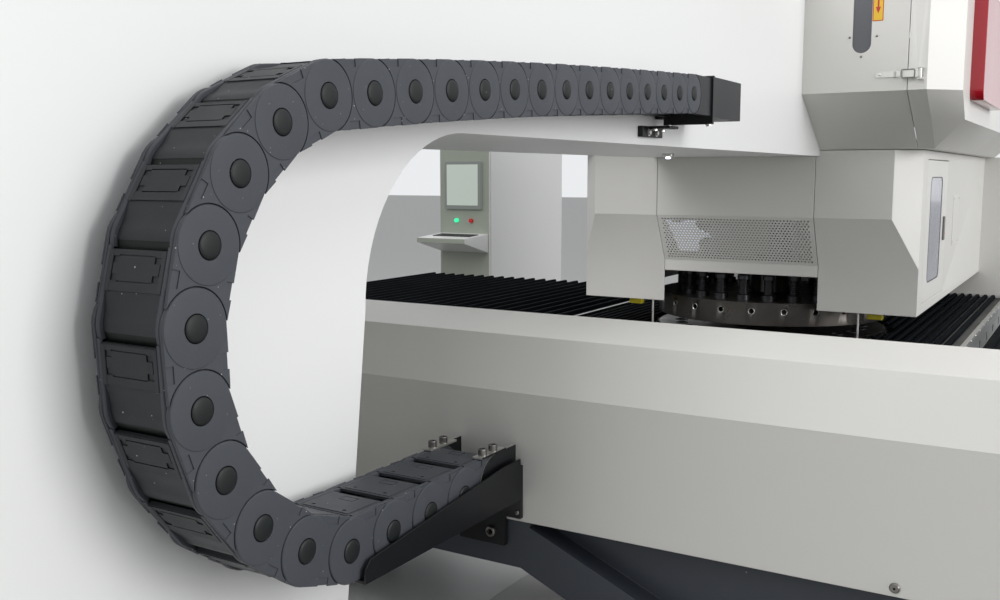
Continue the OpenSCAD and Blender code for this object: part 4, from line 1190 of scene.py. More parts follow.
@dataclass
class Tables:
    """The fixed centre table and the two travelling side tables, with their brushes."""

    top: float = 960.0
    half: float = 764.0
    front: float = -1836.0
    rear: float = 250.0
    pitch: float = 35.0
    brush: float = 15.0
    plate: float = 20.0
    hole: float = 457.0
    turret_y: float = -356.0
    side_in: float = 810.0
    side_out: float = 2450.0
    side_front: float = -1400.0
    side_rear: float = 1960.0
    arm_end: float = 2184.0
    arm_start: float = -1200.0
    arm_size: tuple[float, float] = (60.0, 90.0)
    arm_steps: tuple[float, float] = (120.0, 240.0)
    bar: float = 16.0
    frame_reach: float = 313.5
    frame_face: float = -1145.0
    holder: float = 19.0
    end_gap: float = 5.0

    def centre_spans(self) -> list[tuple[float, float, float]]:
        """Strips of the centre table, broken where the turret's round hole and the frame cut them.

        Returns:
            Rows of (middle in X, start in Y, end in Y).
        """
        out = []
        for i in range(-20, 21):
            x = i * self.pitch
            front = self.frame_face if abs(x) < self.frame_reach else self.front + self.end_gap
            near = max(0.0, abs(x) - self.holder / 2)
            if near < self.hole:
                reach = math.sqrt(self.hole ** 2 - near ** 2)
                out.append((x, front, self.turret_y - reach))
                out.append((x, self.turret_y + reach, self.rear - self.end_gap))
            else:
                out.append((x, front, self.rear - self.end_gap))
        return [s for s in out if s[2] - s[1] > 12]

    def make(self, shop: Paintshop) -> None:
        """Builds the brushes, edge strips and side tables.

        Args:
            shop: Gives the pieces their finish, slot and body.
        """
        foot = self.top - self.brush
        plate = shop.wrap("centre_table", 1.0)
        # The plate's top faces are painted near black: painted shade between the brush strips.
        tone_faces(plate, lambda normals, heights: normals[:, 2] > 0.9)
        made = Shell()
        brush_strips(made, self.centre_spans(), foot)
        shop.stand_in(made, "centre_brush_strips", "centre_brushes", sharp=20)
        strips = Shell()
        for side in (-1, 1):
            a, b = mirrored(side, self.half - self.bar, self.half)
            # The right bar is painted darker than the left: painted shade on the far copy of the same bar.
            strips.box((a, self.front, foot), (b, self.rear, self.top), 0.8, 0.2 if side < 0 else 0.8)
            for y in np.arange(self.front + 60, self.rear - 20, 150.0):
                pan_head(strips, (side * self.half, y, self.top - self.brush / 2), Axis.X, side, 4.5)
        shop.stand_in(strips, "table_edge_bars", "table_edge_strips")
        for side, name in SIDES:
            self.side_table(shop, side, name)
        LOG.info("tables: centre brushes, two edge bars, two side tables")

    def side_table(self, shop: Paintshop, side: int, name: str) -> None:
        """One side table: plate, brushes and the two arms that reach back to the beam.

        Args:
            shop: Gives the pieces their finish, slot and body.
            side: 1 on the right, -1 on the left.
            name: Name of that side.
        """
        z0 = self.top - self.brush - self.plate
        made = Shell()
        a, b = mirrored(side, self.side_in, self.side_out)
        made.box((a, self.side_front, z0), (b, self.side_rear, z0 + self.plate), 2.0, 0.3)
        step, edge = 2 * self.pitch, 20.0
        first = self.side_in + edge + self.holder / 2
        count = int((self.side_out - self.side_in - 2 * edge) / step) + 1
        spans = [(side * (first + i * step), self.side_front + edge / 2, self.side_rear - edge / 2)
                 for i in range(count)]
        brush_strips(made, spans, z0 + self.plate)
        wide, deep = self.arm_size
        for x in (self.side_in + self.arm_steps[0], self.side_out - self.arm_steps[1]):
            a, b = mirrored(side, x, x + wide)
            made.box((a, self.arm_start, z0 - deep), (b, self.arm_end, z0), 2.0, 0.3)
        shop.stand_in(made, f"side_table_{name}_brushes", f"side_table_{name}", sharp=20)


# Beam, carriage and the chain's fixed ends


@dataclass
class Beam:
    """The travelling beam: casting, folded cover, rails, pinion, carriage and clamps."""

    rear: float = 2453.0
    screw_x: float = 965.0
    screw_step: float = 1130.0
    screw_z: float = 1052.0
    pinion_z: float = 1150.0
    teeth: int = 24
    tooth: tuple[float, float] = (28.2, 1.8)
    gear_y: tuple[float, float] = (2140.0, 2177.0)
    shaft: tuple[float, float] = (2112.3, 12.0)

    def make(self, shop: Paintshop) -> None:
        """Rounds the castings and sheet, and adds the cover's screws and the pinion's teeth.

        Args:
            shop: Gives the pieces their finish, slot and body.
        """
        shop.wrap("beam_cover", 3.0, 3)
        shop.wrap_all({"beam_casting": 3.0, "x_rails": 1.0, "carriage": 1.5, "x_motor": 2.5,
                       "clamp_bodies": 1.0, "clamp_jaw_1": 1.0, "clamp_jaw_2": 1.0, "clamp_jaw_3": 1.0})
        screws = Shell()
        far = self.screw_x + self.screw_step
        for x in (-far, -self.screw_x, 0.0, self.screw_x, far):
            pan_head(screws, (x, self.rear, self.screw_z), Axis.Y, 1.0, 6.5)
        shop.trim(screws, "beam_cover_screws", "screw_steel", "beam")
        self.gear(shop)
        LOG.info("beam: nine rounded nodes, cover screws, pinion")

    def gear(self, shop: Paintshop) -> None:
        """The pinion: its outline swings between root and tip once a tooth.

        Args:
            shop: Gives the pieces their finish, slot and body.
        """
        mean, swing = self.tooth
        a = np.linspace(0, 2 * np.pi, 10 * self.teeth + 1)[:-1]
        r = mean + swing * np.clip(2.2 * np.cos(self.teeth * a), -1, 1)
        y0, y1 = self.gear_y
        start, thick = self.shaft
        made = Shell()
        made.slab(np.column_stack([r * np.cos(a), self.pinion_z + r * np.sin(a)]), Axis.Y, y0, y1, 0.5)
        made.lathe([(0.0, start), (thick - 0.6, start), (thick, start + 0.6), (thick, y0), (0.0, y0)],
                   (0, 0, self.pinion_z), Axis.Y, 24)
        shop.stand_in(made, "x_pinion_gear", "x_pinion")


@dataclass
class ChainEnds:
    """What holds the chain: the tray on the beam, the end plates, the cable box and its foot."""

    near: float = -432.0
    far: float = -330.0
    box_rear: float = 1644.0
    tray_rear: float = 2461.0
    flange_top: float = 1162.2
    flange_y: tuple[float, float] = (2513.0, 2541.0)
    tray_cap: tuple[float, float] = (-390.0, 1020.0)
    plate_x: float = -434.5
    plate_z: tuple[float, float] = (1118.0, 1056.0)
    box_low: float = 1661.5
    foot_y: tuple[float, float] = (1652.0, 1694.0)
    foot_down: tuple[float, float] = (-327.0, 1652.0)
    foot_across: tuple[float, float] = (-315.0, 1645.0)

    def make(self, shop: Paintshop) -> None:
        """Rounds the sheet parts and puts in the screws.

        Args:
            shop: Gives the pieces their finish, slot and body.
        """
        shop.wrap_all({"chain_tray": 1.2, "chain_end_brackets": 0.8, "cable_box": 1.5, "chain_foot": 1.5})
        plates = bpy.data.objects["chain_end_brackets_skin"]
        tone_faces(plates, lambda normals, heights: heights > 10 * MM)
        screws = Shell()
        for x in (self.near + 8, self.far - 8):
            for y in self.flange_y:
                socket_head(screws, (x, y, self.flange_top), Axis.Z)
        x, z = self.tray_cap
        socket_head(screws, (x, self.tray_rear, z), Axis.Y, r=8.0, height=6.0)
        shop.stand_in(screws, "chain_end_screws", "socket_screws")
        small = Shell()
        for z in self.plate_z:
            pan_head(small, (self.plate_x, self.tray_rear, z), Axis.Y, 1.0, 3.6)
        shop.trim(small, "tray_plate_screws", "screw_steel", "beam")
        bright = Shell()
        for x in (self.near + 6, self.far - 6):
            hex_bolt(bright, (x, self.box_rear - 4, self.box_low), Axis.Z, -1.0, 5.5)
        (down_x, down_z), (across_x, across_z) = self.foot_down, self.foot_across
        for y in self.foot_y:
            hex_bolt(bright, (down_x, y, down_z), Axis.Z, -1.0, 5.5)
            hex_bolt(bright, (across_x, y + 4, across_z), Axis.X, -1.0, 6.0)
        shop.trim(bright, "cable_box_bolts", "zinc", "frame")
        LOG.info("chain ends: four rounded nodes and their screws")


# Turrets and tools


@dataclass
class Turrets:
    """Both turrets with their dies and punches, and what shows between hood and table."""

    centre_y: float = -356.0
    ring: float = 356.0
    rim: float = 445.0
    count: int = 24
    upper: float = 1004.0
    upper_top: float = 1088.0
    lower: float = 886.0
    lower_top: float = 956.0
    bore: float = 26.0
    die_bore: float = 17.0
    table_top: float = 960.0
    guard_low: float = 1072.8
    posts: tuple[tuple[float, float], ...] = ((340.0, 60.0), (-432.0, 60.0))
    blocks: tuple[tuple[float, float], ...] = ((434.0, 0.0), (-478.0, 0.0))
    block_half: tuple[float, float] = (26.0, 14.0)
    block_low: float = 1046.0

    def station(self, i: float) -> tuple[float, float]:
        """Place of station i on the ring, counted from the punching station."""
        a = math.radians(90 + i * 360 / self.count)
        return self.ring * math.cos(a), self.centre_y + self.ring * math.sin(a)

    def tool(self, made: Shell, place: Sequence[float]) -> None:
        """A punch: guide, body, a stack of disc springs and a domed head, all turned.

        Args:
            made: The shell that takes it.
            place: Place of the station in X and Y.
        """
        r, z1 = self.bore - 0.3, self.upper_top
        coil = []
        for z in np.arange(z1 + 21, z1 + 74, 7.5):
            coil += [(r - 9.4, z), (r - 7.0, z + 2.2), (r - 7.0, z + 4.2), (r - 9.4, z + 6.4)]
        profile = [(0.0, self.upper + 1), (r - 12, self.upper + 1), (r - 12, self.upper + 6.5),
                   (r - 0.8, self.upper + 6.5), (r, self.upper + 7.5), (r, z1 + 18.6), (r - 1.4, z1 + 20),
                   *coil, (r - 3.2, z1 + 77), (r - 2, z1 + 78.5), (r - 2, z1 + 92), (r - 5, z1 + 95.6),
                   (r - 9, z1 + 96), (0.0, z1 + 96)]
        made.lathe(profile, (*place, 0.0), Axis.Z, 24)

    def rim_eyes(self, made: Shell, z: float) -> None:
        """Bright collars in the rim's holes, each a ring turned round its own radius.

        Args:
            made: The shell that takes them.
            z: Height of the holes.
        """
        one = Shell()
        collar = [(12.0, -1.0), (12.0, 0.5), (11.4, 0.9), (10.2, 0.2), (9.4, -2.5), (9.4, -4.0),
                  (11.8, -4.0)]
        one.lathe(collar, (0, 0, 0), Axis.X, 24, hollow=True)
        for i in range(self.count):
            a = math.radians((i + 0.5) * 360 / self.count)
            turn = np.array([[math.cos(a), -math.sin(a), 0], [math.sin(a), math.cos(a), 0], [0, 0, 1]])
            at = (math.cos(a) * self.rim, self.centre_y + math.sin(a) * self.rim, z)
            made.include(one, turn, at)

    def make(self, shop: Paintshop) -> None:
        """Builds the turrets' rims, the tools and the fittings beside them.

        Args:
            shop: Gives the pieces their finish, slot and body.
        """
        shop.wrap("upper_turret", 1.6, 2, 40)
        shop.wrap("lower_turret", 1.6, 2, 40)
        shop.wrap("ram", 1.5)
        for name, z in (("upper", self.upper + 52), ("lower", (self.lower + self.lower_top) / 2)):
            eyes = Shell()
            self.rim_eyes(eyes, z)
            shop.trim(eyes, f"{name}_rim_collars", "zinc", f"{name}_turret")
        fixed, active, dies = Shell(), Shell(), Shell()
        r, inner, top = self.bore - 0.3, self.die_bore, self.lower_top
        profile = [(r, top - 30), (r, top + 1.2), (r - 0.8, top + 2), (inner + 0.8, top + 2),
                   (inner, top + 1.2), (inner, top - 30)]
        for i in range(self.count):
            x, y = self.station(i)
            self.tool(fixed if i else active, (x, y))
            dies.lathe(profile, (x, y, 0.0), Axis.Z, 32, hollow=True)
        shop.stand_in(fixed, "turret_punches", "punches")
        shop.stand_in(active, "active_punch", "station_punch")
        shop.stand_in(dies, "turret_dies", "dies")
        self.fittings(shop)
        LOG.info("turrets: %d stations", self.count)

    def fittings(self, shop: Paintshop) -> None:
        """Two thin posts and two yellow blocks below the hood, as the gap there shows.

        Args:
            shop: Gives the pieces their finish, slot and body.
        """
        posts, blocks = Shell(), Shell()
        foot, top = self.table_top + 0.5, self.guard_low
        profile = [(0.0, foot), (4.0, foot), (4.0, top - 1.8), (7.0, top), (0.0, top)]
        for x, y in self.posts:
            posts.lathe(profile, (x, y, 0.0), Axis.Z, 16)
        a, b = self.block_half
        for x, y in self.blocks:
            blocks.box((x - a, y - b, self.block_low), (x + a, y + b, self.guard_low), 2.0)
        shop.trim(posts, "sheet_feeler_posts", "zinc", "frame")
        shop.trim(blocks, "sensor_blocks", "warning_yellow", "frame")


# Hood and head covers


@dataclass
class Hood:
    """The hood round the turrets: two folded halves, a perforated middle panel and two side doors."""

    side: float = 625.0
    mid: float = 289.0
    rear: float = 163.0
    low_rear: float = 71.0
    crease: float = 1407.0
    crease_low: float = 1233.0
    lip: float = 1192.0
    top: float = 1618.7
    sheet: float = 4.0
    hole_pitch: float = 12.0
    hole: float = 3.2
    door: tuple[float, float, float, float] = (-532.0, -20.3, 1109.0, 1606.0)
    window: tuple[float, float, float, float] = (-393.0, -110.0, 1172.0, 1548.0)
    pull: tuple[float, float, float, float] = (-463.0, -447.0, 1308.0, 1399.0)
    mark_z: float = 1335.0
    plate: tuple[float, float, float, float] = (-900.0, -730.0, 1270.0, 1475.0)

    def slant(self, flat: Array) -> Array:
        """Turns (X, way down the slant, depth) into space: along the slant and inwards across it.

        Args:
            flat: Points of shape (n, 3).
        Returns:
            Points of shape (n, 3).
        """
        length = math.hypot(self.rear - self.low_rear, self.crease - self.crease_low)
        cy, cz = (self.low_rear - self.rear) / length, (self.crease_low - self.crease) / length
        y = self.rear + flat[:, 1] * cy + flat[:, 2] * cz
        z = self.crease + flat[:, 1] * cz - flat[:, 2] * cy
        return np.column_stack([flat[:, 0], y, z])

    def grille(self, made: Shell) -> None:
        """The perforated slant: rows of square cells with an eight-sided hole, each row half a cell on.

        Args:
            made: The shell that takes it.
        """
        length = math.hypot(self.rear - self.low_rear, self.crease - self.crease_low)
        p, h = self.hole_pitch, self.hole_pitch * 0.866
        columns, lines = int((2 * self.mid - 24) / p), int((length - 16) / h)
        x0, v0 = -columns * p / 2, (length - lines * h) / 2
        box = np.array([[0, 0], [0.5, 0], [1, 0], [1, 0.5], [1, 1], [0.5, 1], [0, 1], [0, 0.5]]) * [p, h]
        a = np.radians(np.array([225, 270, 315, 0, 45, 90, 135, 180]))
        hole = np.column_stack([p / 2 + self.hole * np.cos(a), h / 2 + self.hole * np.sin(a)])
        row, col = np.meshgrid(np.arange(lines), np.arange(columns), indexing="ij")
        keep = (row % 2 == 0) | (col < columns - 1)
        row, col = row[keep], col[keep]
        start = np.column_stack([x0 + col * p + (row % 2) * p / 2, v0 + row * h])
        outer, inner = start[:, None] + box, start[:, None] + hole
        loops = [(outer, 0.0), (inner, 0.0), (inner, 1.6), (outer, 1.6)]
        points = np.stack([np.concatenate([q, np.full((*q.shape[:2], 1), d)], 2) for q, d in loops], 1)
        n = len(start)
        i, j = np.meshgrid(np.arange(3), np.arange(8), indexing="ij")
        quad = np.stack([i * 8 + j, i * 8 + (j + 1) % 8, (i + 1) * 8 + (j + 1) % 8, (i + 1) * 8 + j], -1)
        faces = (np.arange(n)[:, None, None] * 32 + quad.reshape(-1, 4)).reshape(-1, 4)
        made.add(self.slant(points.reshape(-1, 3)), faces.tolist())
        # The hole walls and the sheet's back are painted dark: painted shade inside the holes and behind
        # the panel.
        tones = made.tones[-1].reshape(n, 4, 8)
        tones[:, 2:] = 0.8
        for x in (x0, x0 + columns * p - p / 2):
            for line in range(1, lines, 2):
                flat = box_outline((x, v0 + line * h), (x + p / 2, v0 + line * h + h))
                made.add(self.slant(np.column_stack([flat, np.zeros(4)])), [[0, 1, 2, 3]])
        edge = box_outline((x0, v0), (x0 + columns * p, v0 + lines * h))
        full = box_outline((-self.mid, 0), (self.mid, length))
        cell_ring(full, edge, (0.0, 1.6), made, put=self.slant)

    def middle(self, shop: Paintshop) -> None:
        """The middle panel: flat face, perforated slant, lip and the folded returns at its sides.

        Args:
            shop: Gives the pieces their finish, slot and body.
        """
        made, m, s = Shell(), self.mid, self.sheet
        self.grille(made)
        made.box((-m, self.rear - s, self.crease), (m, self.rear, self.top), 0.8)
        made.box((-m, self.low_rear - s, self.lip), (m, self.low_rear, self.crease_low), 0.8)
        back, low, front = self.rear - 1, self.low_rear - 1, self.low_rear - 60
        shape = [(back, self.top), (back, self.crease), (low, self.crease_low), (low, self.lip),
                 (front, self.lip), (front, self.top)]
        for a, b in ((-m, -m + s), (m - s, m)):
            made.slab(np.array(shape), Axis.X, a, b, 0.6)
        shop.stand_in(made, "hood_middle_panel", "hood_middle")

    def leaf(self, shop: Paintshop, side: int, name: str) -> None:
        """One side door: a leaf with a rounded window, its rubber seal, the glass and a slim pull.

        Args:
            shop: Gives the pieces their finish, slot and body.
            side: 1 on the right, -1 on the left.
            name: Name of that side.
        """
        y0, y1, z0, z1 = self.door
        wy0, wy1, wz0, wz1 = self.window
        r, n = 30.0, 6
        out = box_outline((y0, z0), (y1, z1), 3.0, n)
        hole = box_outline((wy0, wz0), (wy1, wz1), r, n)
        made, seal, glass, mark = Shell(), Shell(), Shell(), Shell()

        def put(q: Array) -> Array:
            """Turns (Y, Z, depth below the side's face) into space."""
            return np.column_stack([side * (self.side - q[:, 2]), q[:, 0], q[:, 1]])

        cell_ring(out, hole, (0.0, 3.0), made, put=put)
        py0, py1, pz0, pz1 = self.pull
        a, b = mirrored(side, self.side, self.side + 8)
        made.box((a, py0, pz0), (b, py1, pz1), 2.5, 0.8)
        shop.stand_in(made, f"hood_door_{name}_leaf", f"hood_door_{name}")
        cell_ring(inset(hole, 0.2), inset(hole, 3.4), (-0.8, 3.2), seal, put=put)
        shop.trim(seal, f"hood_door_{name}_seal", "seal_rubber", f"hood_door_{name}")
        pane = inset(hole, 2.0)
        glass.slab(pane, Axis.X, *mirrored(side, self.side - 2.5, self.side - 0.5), 0.2)
        piece = shop.stand_in(glass, f"hood_door_{name}_glass", f"hood_window_{name}")
        shop.dress(piece, "hood_glass", slot="window")
        # The red mark glows through its finish: painted brightness, as the mark is no lamp.
        mark.lathe([(0.0, 7.8), (5.5, 7.8), (4.8, 8.6), (0.0, 8.7)],
                   (side * self.side, (py0 + py1) / 2, self.mark_z), Axis.X, 16, way=side)
        shop.trim(mark, f"hood_door_{name}_mark", "button_red", f"hood_door_{name}", "badge_red")

    def make(self, shop: Paintshop) -> None:
        """Builds the middle panel, both doors, the side cover plates and a glowing patch that paints the
        reflections seen through the grille.

        Args:
            shop: Gives the pieces their finish, slot and body.
        """
        shop.wrap_all({"hood_left": 1.5, "hood_right": 1.5, "front_guards": 1.5})
        self.middle(shop)
        plates = Shell()
        for side, name in SIDES:
            self.leaf(shop, side, name)
            y0, y1, z0, z1 = self.plate
            a, b = mirrored(side, self.side, self.side + 1.5)
            plates.slab(box_outline((y0, z0), (y1, z1), 6), Axis.X, a, b, 0.5)
            for y in (y0 + 15, y1 - 15):
                for z in (z0 + 15, z1 - 15):
                    pan_head(plates, (side * (self.side + 1.4), y, z), Axis.X, side, 4.0)
        shop.trim(plates, "hood_side_plates", "grey_paint", "frame")
        # The glowing patch behind the grille is painted reflection, not a lamp: it stands for the ceiling
        # lights seen inside through the holes.
        lamp = Shell()
        for depth, face in ((14.0, list(range(8))), (18.0, list(range(8))[::-1])):
            lamp.add(self.slant(np.column_stack([self.painted_reflection_outline(), np.full(8, depth)])), [face])
        shop.trim(lamp, "hood_painted_reflection", "inner_glow", "frame")
        LOG.info("hood: middle panel, two doors, two plates")

    def painted_reflection_outline(self) -> Array:
        """Outline of the glowing patch behind the grille that paints the reflections seen through its
        holes, in X and way down the slant.
        """
        return np.array([[262, 30], [232, 42], [150, 30], [150, 58], [96, 96], [148, 112], [152, 160],
                         [226, 168]], float)


@dataclass
class HeadCovers:
    """The two covers of the head, each with a corner door, a slot window and a draw latch."""

    seam: float = 617.0
    rear: float = 427.0
    slot: float = 480.0
    latch_z: float = 1858.0
    hinge_x: float = 655.0
    hinge_y: float = 438.0
    strap: tuple[float, float, float] = (525.0, 611.0, 8.7)
    strap_screw: float = 538.0
    hook: tuple[float, float, float] = (577.0, 580.0, 583.0)
    sticker_half: float = 16.0
    sticker_z: tuple[float, float] = (2020.0, 2160.0)
    badge_y: tuple[float, float] = (-480.0, 168.0)
    badge_z: tuple[float, float] = (1790.0, 2140.0)
    badge_r: float = 34.0
    badge_x: float = -763.0
    slot_screws: tuple[tuple[float, float], ...] = ((-44.0, 1976.0), (36.0, 1976.0), (0.0, 1916.0))

    def latch(self, shop: Paintshop, side: int, name: str) -> None:
        """One draw latch: a folded lever on its pin, with a wire bail that hooks over the keeper.

        Args:
            shop: Gives the pieces their finish, slot and body.
            side: 1 on the right, -1 on the left.
            name: Name of that side.
        """
        z, x, y = self.latch_z, self.hinge_x, self.hinge_y
        made = Shell()
        pin = [(0.0, -18), (2.7, -18), (2.7, 18), (0.0, 18)]
        sleeve = [(4.9, -14), (5.0, -13), (5.0, 13), (4.9, 14)]
        made.lathe(pin, (side * x, y, z), Axis.Z, 16)
        made.lathe(sleeve, (side * x, y, z), Axis.Z, 20)
        tip = self.seam - 12
        flat = rounded([[tip, y - 2.5], [x, y - 3], [x + 2, y], [x, y + 1], [tip, y + 0.4]], 1.5, 3)
        made.slab(flat * [side, 1], Axis.Z, z - 12, z + 12, 1.0)
        loop = [(tip - 4, z + 12), (x - 16, z + 12), (x - 16, z - 12), (tip - 4, z - 12)]
        ring = rounded(loop, 5.0, 5)
        path = np.column_stack([side * ring[:, 0], np.full(len(ring), y + 2.2), ring[:, 1]])
        made.tube(path, 2.0, 8, closed=True, tone=0.6)
        shop.stand_in(made, f"latch_{name}_lever", f"latch_lever_{name}")

    def keepers(self, shop: Paintshop) -> None:
        """Keeper plates: a slim strap with a rounded end and a raised hook.

        Args:
            shop: Gives the pieces their finish, slot and body.
        """
        made = Shell()
        z, y = self.latch_z, self.rear
        x0, x1, half = self.strap
        near, mid, far = self.hook
        for side in (-1, 1):
            strap = box_outline((x0, z - half), (x1, z + half), 6) * [side, 1]
            made.slab(strap, Axis.Y, y, y + 2.5, 0.7)
            hook = np.array([[near, y + 2], [near, y + 11], [mid, y + 12], [far, y + 11], [far, y + 2]])
            made.slab(hook * [side, 1], Axis.Z, z - half, z + half, 0.5)
            pan_head(made, (side * self.strap_screw, y + 2.4, z), Axis.Y, 1.0, 4.0)
        shop.stand_in(made, "latch_keeper_straps", "latch_keepers")

    def plate(self, shop: Paintshop) -> None:
        """The yellow plate with a red border and an arrow that points down.

        Args:
            shop: Gives the pieces their finish, slot and body.
        """
        made, lines = Shell(), Shell()
        mid, (z0, z1) = -self.slot - 45, self.sticker_z
        x0, x1 = mid - self.sticker_half, mid + self.sticker_half
        made.slab(box_outline((x0, z0), (x1, z1), 2), Axis.Y, self.rear, self.rear + 0.6, 0.1)
        shop.stand_in(made, "arrow_sticker", "arrow_plate")
        y0, y1 = self.rear + 0.55, self.rear + 0.9
        border = box_outline((x0 + 0.5, z0 + 0.5), (x1 - 0.5, z1 - 0.5), 2)
        cell_ring(border, inset(border, 2.2), (0.0, 0.3), lines,
                  put=lambda q: np.column_stack([q[:, 0], y0 + q[:, 2], q[:, 1]]))
        arrow = np.array([[mid, z0 + 22], [mid + 7.5, z0 + 42], [mid + 2.4, z0 + 42], [mid + 2.4, z1 - 18],
                          [mid - 2.4, z1 - 18], [mid - 2.4, z0 + 42], [mid - 7.5, z0 + 42]])
        lines.slab(arrow, Axis.Y, y0, y1)
        shop.trim(lines, "arrow_sticker_lines", "sticker_red", "frame")

    def badge(self, shop: Paintshop) -> None:
        """The bare red plate: a rounded tray whose walls carry a soft fold round its face.

        Args:
            shop: Gives the pieces their finish, slot and body.
        """
        made = Shell()
        (y0, y1), (z0, z1) = self.badge_y, self.badge_z
        base = box_outline((y0, z0), (y1, z1), self.badge_r, 10)
        rows = [(0.0, 0.0), (0.0, 36.0), (1.2, 39.0), (4.0, 40.0), (5.0, 40.0), (9.0, 38.6), (11.0, 38.6)]
        rings = [lift(inset(base, by) if by else base, Axis.X, self.badge_x - out) for by, out in rows]
        made.rings(np.stack(rings))
        shop.stand_in(made, "red_plate", "badge_plate")

    def make(self, shop: Paintshop) -> None:
        """Rounds the covers and adds latches, plates and the slots' screws.

        Args:
            shop: Gives the pieces their finish, slot and body.
        """
        shop.wrap_all({"head_cover_left": 1.5, "head_cover_right": 1.5, "head_door_left": 1.5,
                       "head_door_right": 1.5})
        screws = Shell()
        for side, name in SIDES:
            self.latch(shop, side, name)
            for dx, z in self.slot_screws:
                pan_head(screws, (side * (self.slot + dx * side), self.rear, z), Axis.Y, 1.0, 3.6)
        shop.trim(screws, "slot_screws", "screw_steel", "frame")
        self.keepers(shop)
        self.plate(shop)
        self.badge(shop)
        LOG.info("head covers: latches, keepers, plates and screws")


@dataclass
class Console:
    """The control cabinet with its screen, buttons and keyboard."""

    left: float = 2490.0
    wide: float = 405.0
    face: float = -2209.0
    screen: tuple[float, float] = (1320.0, 1650.0)
    screen_half: float = 150.0
    frame_width: float = 22.0
    button_z: float = 1240.0
    button_x: float = 60.0
    button_r: float = 14.0
    shelf: float = 1130.0
    shelf_reach: float = 300.0
    shelf_fall: float = 20.0
    key: tuple[float, float] = (24.0, 25.0)
    key_pitch: tuple[float, float] = (28.0, 30.0)
    key_count: tuple[int, int] = (11, 4)

    def make(self, shop: Paintshop) -> None:
        """Rounds the cabinet and builds screen, keys and buttons.

        Args:
            shop: Gives the pieces their finish, slot and body.
        """
        cabinet = shop.wrap("operator_console", 3.0, 3)
        tone_faces(cabinet, lambda normals, heights: normals[:, 1] > 0.9)
        mid, y = self.left + self.wide / 2, self.face
        (z0, z1), half, rim = self.screen, self.screen_half, self.frame_width
        case, glow = Shell(), Shell()
        case.slab(box_outline((mid - half, z0), (mid + half, z1), 8), Axis.Y, y, y + 28, 3.0, 1.0)
        pane = box_outline((mid - half + rim, z0 + rim + 4), (mid + half - rim, z1 - rim), 3)
        glow.slab(pane, Axis.Y, y + 27, y + 29, 0.5)
        shop.stand_in(case, "console_monitor", "console_screen")
        shop.trim(glow, "console_monitor_glass", "screen", "frame")
        r = self.button_r
        profile = [(0.0, -6), (r - 0.6, -6), (r, -5), (r, 19), (r - 1.4, 21.4), (8.0, 22), (0.0, 22)]
        for side, name in ((-1, "stop"), (1, "start")):
            knob = Shell()
            knob.lathe(profile, (mid + side * self.button_x, y, self.button_z), Axis.Y, 28)
            shop.stand_in(knob, f"{name}_push_button", f"{name}_button")
        self.keys(shop)
        LOG.info("console: monitor, keys and two buttons")

    def keys(self, shop: Paintshop) -> None:
        """The keyboard: rows of caps that follow the shelf's slope.

        Args:
            shop: Gives the pieces their finish, slot and body.
        """
        keys = Shell()
        columns, rows = self.key_count
        for row in range(rows):
            for col in range(columns):
                x = self.left + 42 + col * self.key_pitch[0]
                y = self.face + 70 + row * self.key_pitch[1]
                z = self.shelf + self.shelf_fall - self.shelf_fall * (y - self.face) / self.shelf_reach
                keys.box((x, y, z - 3), (x + self.key[0], y + self.key[1], z + 5), 2.0)
        shop.trim(keys, "console_keys", "motor_black", "frame")


# Floor, light and camera


@dataclass(frozen=True)
class Lamp:
    """One square area lamp that looks from its place to a point."""

    name: str
    place: tuple[float, float, float]
    aim: tuple[float, float, float]
    size: float
    power: float

    def hang(self) -> None:
        """Puts the lamp into the scene."""
        data = bpy.data.lights.new(self.name, "AREA")
        data.size = self.size
        data.energy = self.power
        made = linked(self.name, data)
        made.location = self.place
        made.rotation_euler = (Vector(self.aim) - Vector(self.place)).to_track_quat("-Z", "Y").to_euler()


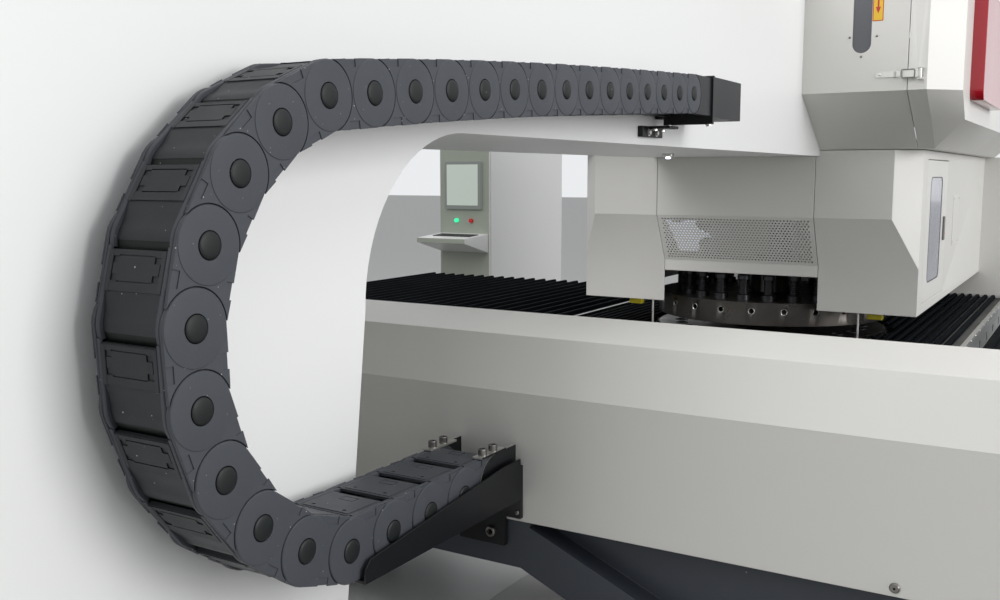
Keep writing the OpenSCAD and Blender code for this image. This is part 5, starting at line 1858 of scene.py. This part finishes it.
@dataclass
class Studio:
    """A pale floor, soft light and the camera at the photograph's angle."""

    eye: tuple[float, float, float] = (-1.1591, 3.7156, 1.555)
    yaw: float = -58.988
    pitch: float = -7.074
    roll: float = -0.028
    lens: float = 36.23
    sensor: float = 36.0
    world: float = 0.5
    backdrop: float = 0.86
    sky: Colour = (0.96, 0.98, 1.0)
    floor_half: float = 60000.0
    floor_seen: Colour = (0.56, 0.56, 0.55)
    floor_bounce: Colour = (0.20, 0.20, 0.195)
    lamps: tuple[Lamp, ...] = (
        Lamp("overhead", (-2.0, 1.0, 7.0), (0.0, 1.0, 0.0), 7.0, 150),
        Lamp("side", (-9.0, 1.4, 3.4), (0.0, 1.0, 1.2), 5.0, 560),
        Lamp("rear", (2.5, 8.0, 6.0), (0.5, 2.4, 1.1), 5.0, 330))

    def camera(self) -> None:
        """Puts the camera at the photograph's place: it looks along yaw and pitch."""
        data = bpy.data.cameras.new("camera")
        data.lens = self.lens
        data.sensor_width = self.sensor
        data.clip_end = 200
        made = linked("camera", data)
        y, p = math.radians(self.yaw), math.radians(self.pitch)
        ahead = Vector((math.cos(y) * math.cos(p), math.sin(y) * math.cos(p), math.sin(p)))
        turn = ahead.to_track_quat("-Z", "Y").to_matrix().to_4x4()
        roll = Matrix.Rotation(math.radians(self.roll), 4, "Z")
        made.matrix_world = Matrix.Translation(self.eye) @ turn @ roll
        bpy.context.scene.camera = made

    def floor(self) -> None:
        """A wide floor, paler where the camera sees it than where it lights the machine from below."""
        floor, h = Shell(), self.floor_half
        floor.slab(box_outline((-h, -h), (h, h)), Axis.Z, -60, 0)
        piece = floor.build("floor")
        piece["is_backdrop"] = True
        paint = bpy.data.materials.new("floor_pale")
        paint.use_nodes = True
        tree = paint.node_tree
        shader = tree.nodes["Principled BSDF"]
        shader.inputs["Roughness"].default_value = 0.7
        bounce = tree.nodes.new("ShaderNodeLightPath").outputs["Is Diffuse Ray"]
        tree.links.new(mix(tree, bounce, self.floor_seen, self.floor_bounce), shader.inputs["Base Color"])
        piece.data.materials.append(paint)

    def sky_light(self) -> None:
        """A plain world that is brighter for the camera and for reflections than as a light."""
        world = bpy.data.worlds.new("studio")
        bpy.context.scene.world = world
        world.use_nodes = True
        tree = world.node_tree
        path = tree.nodes.new("ShaderNodeLightPath")
        seen = math_node(tree, "MAXIMUM", path.outputs["Is Camera Ray"], path.outputs["Is Glossy Ray"])
        seen = math_node(tree, "MAXIMUM", seen, path.outputs["Is Transmission Ray"])
        back = tree.nodes["Background"]
        back.inputs["Color"].default_value = (*self.sky, 1)
        tree.links.new(spread(tree, seen, self.world, self.backdrop), back.inputs["Strength"])

    def build(self) -> None:
        """Makes floor, world, lamps and camera."""
        self.floor()
        self.sky_light()
        for lamp in self.lamps:
            lamp.hang()
        bpy.context.scene.view_settings.view_transform = "Standard"
        self.camera()
        LOG.info("studio: floor, %d lamps and the camera", len(self.lamps))


def main() -> None:
    """Builds every sub-assembly in order."""
    logging.basicConfig(level=logging.INFO, format="%(name)s: %(message)s")
    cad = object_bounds()
    shop = Paintshop()
    shop.dress_nodes()
    for part in (Frame, Tables, Beam, DragChain, ChainEnds, Turrets, Hood, HeadCovers, Console):
        part().make(shop)
    Studio().build()
    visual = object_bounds()
    for name, box in (("cad", cad), ("visual", visual)):
        rows = [[round(float(v), 4) for v in corner] for corner in box]


if __name__ == "__main__":
    main()
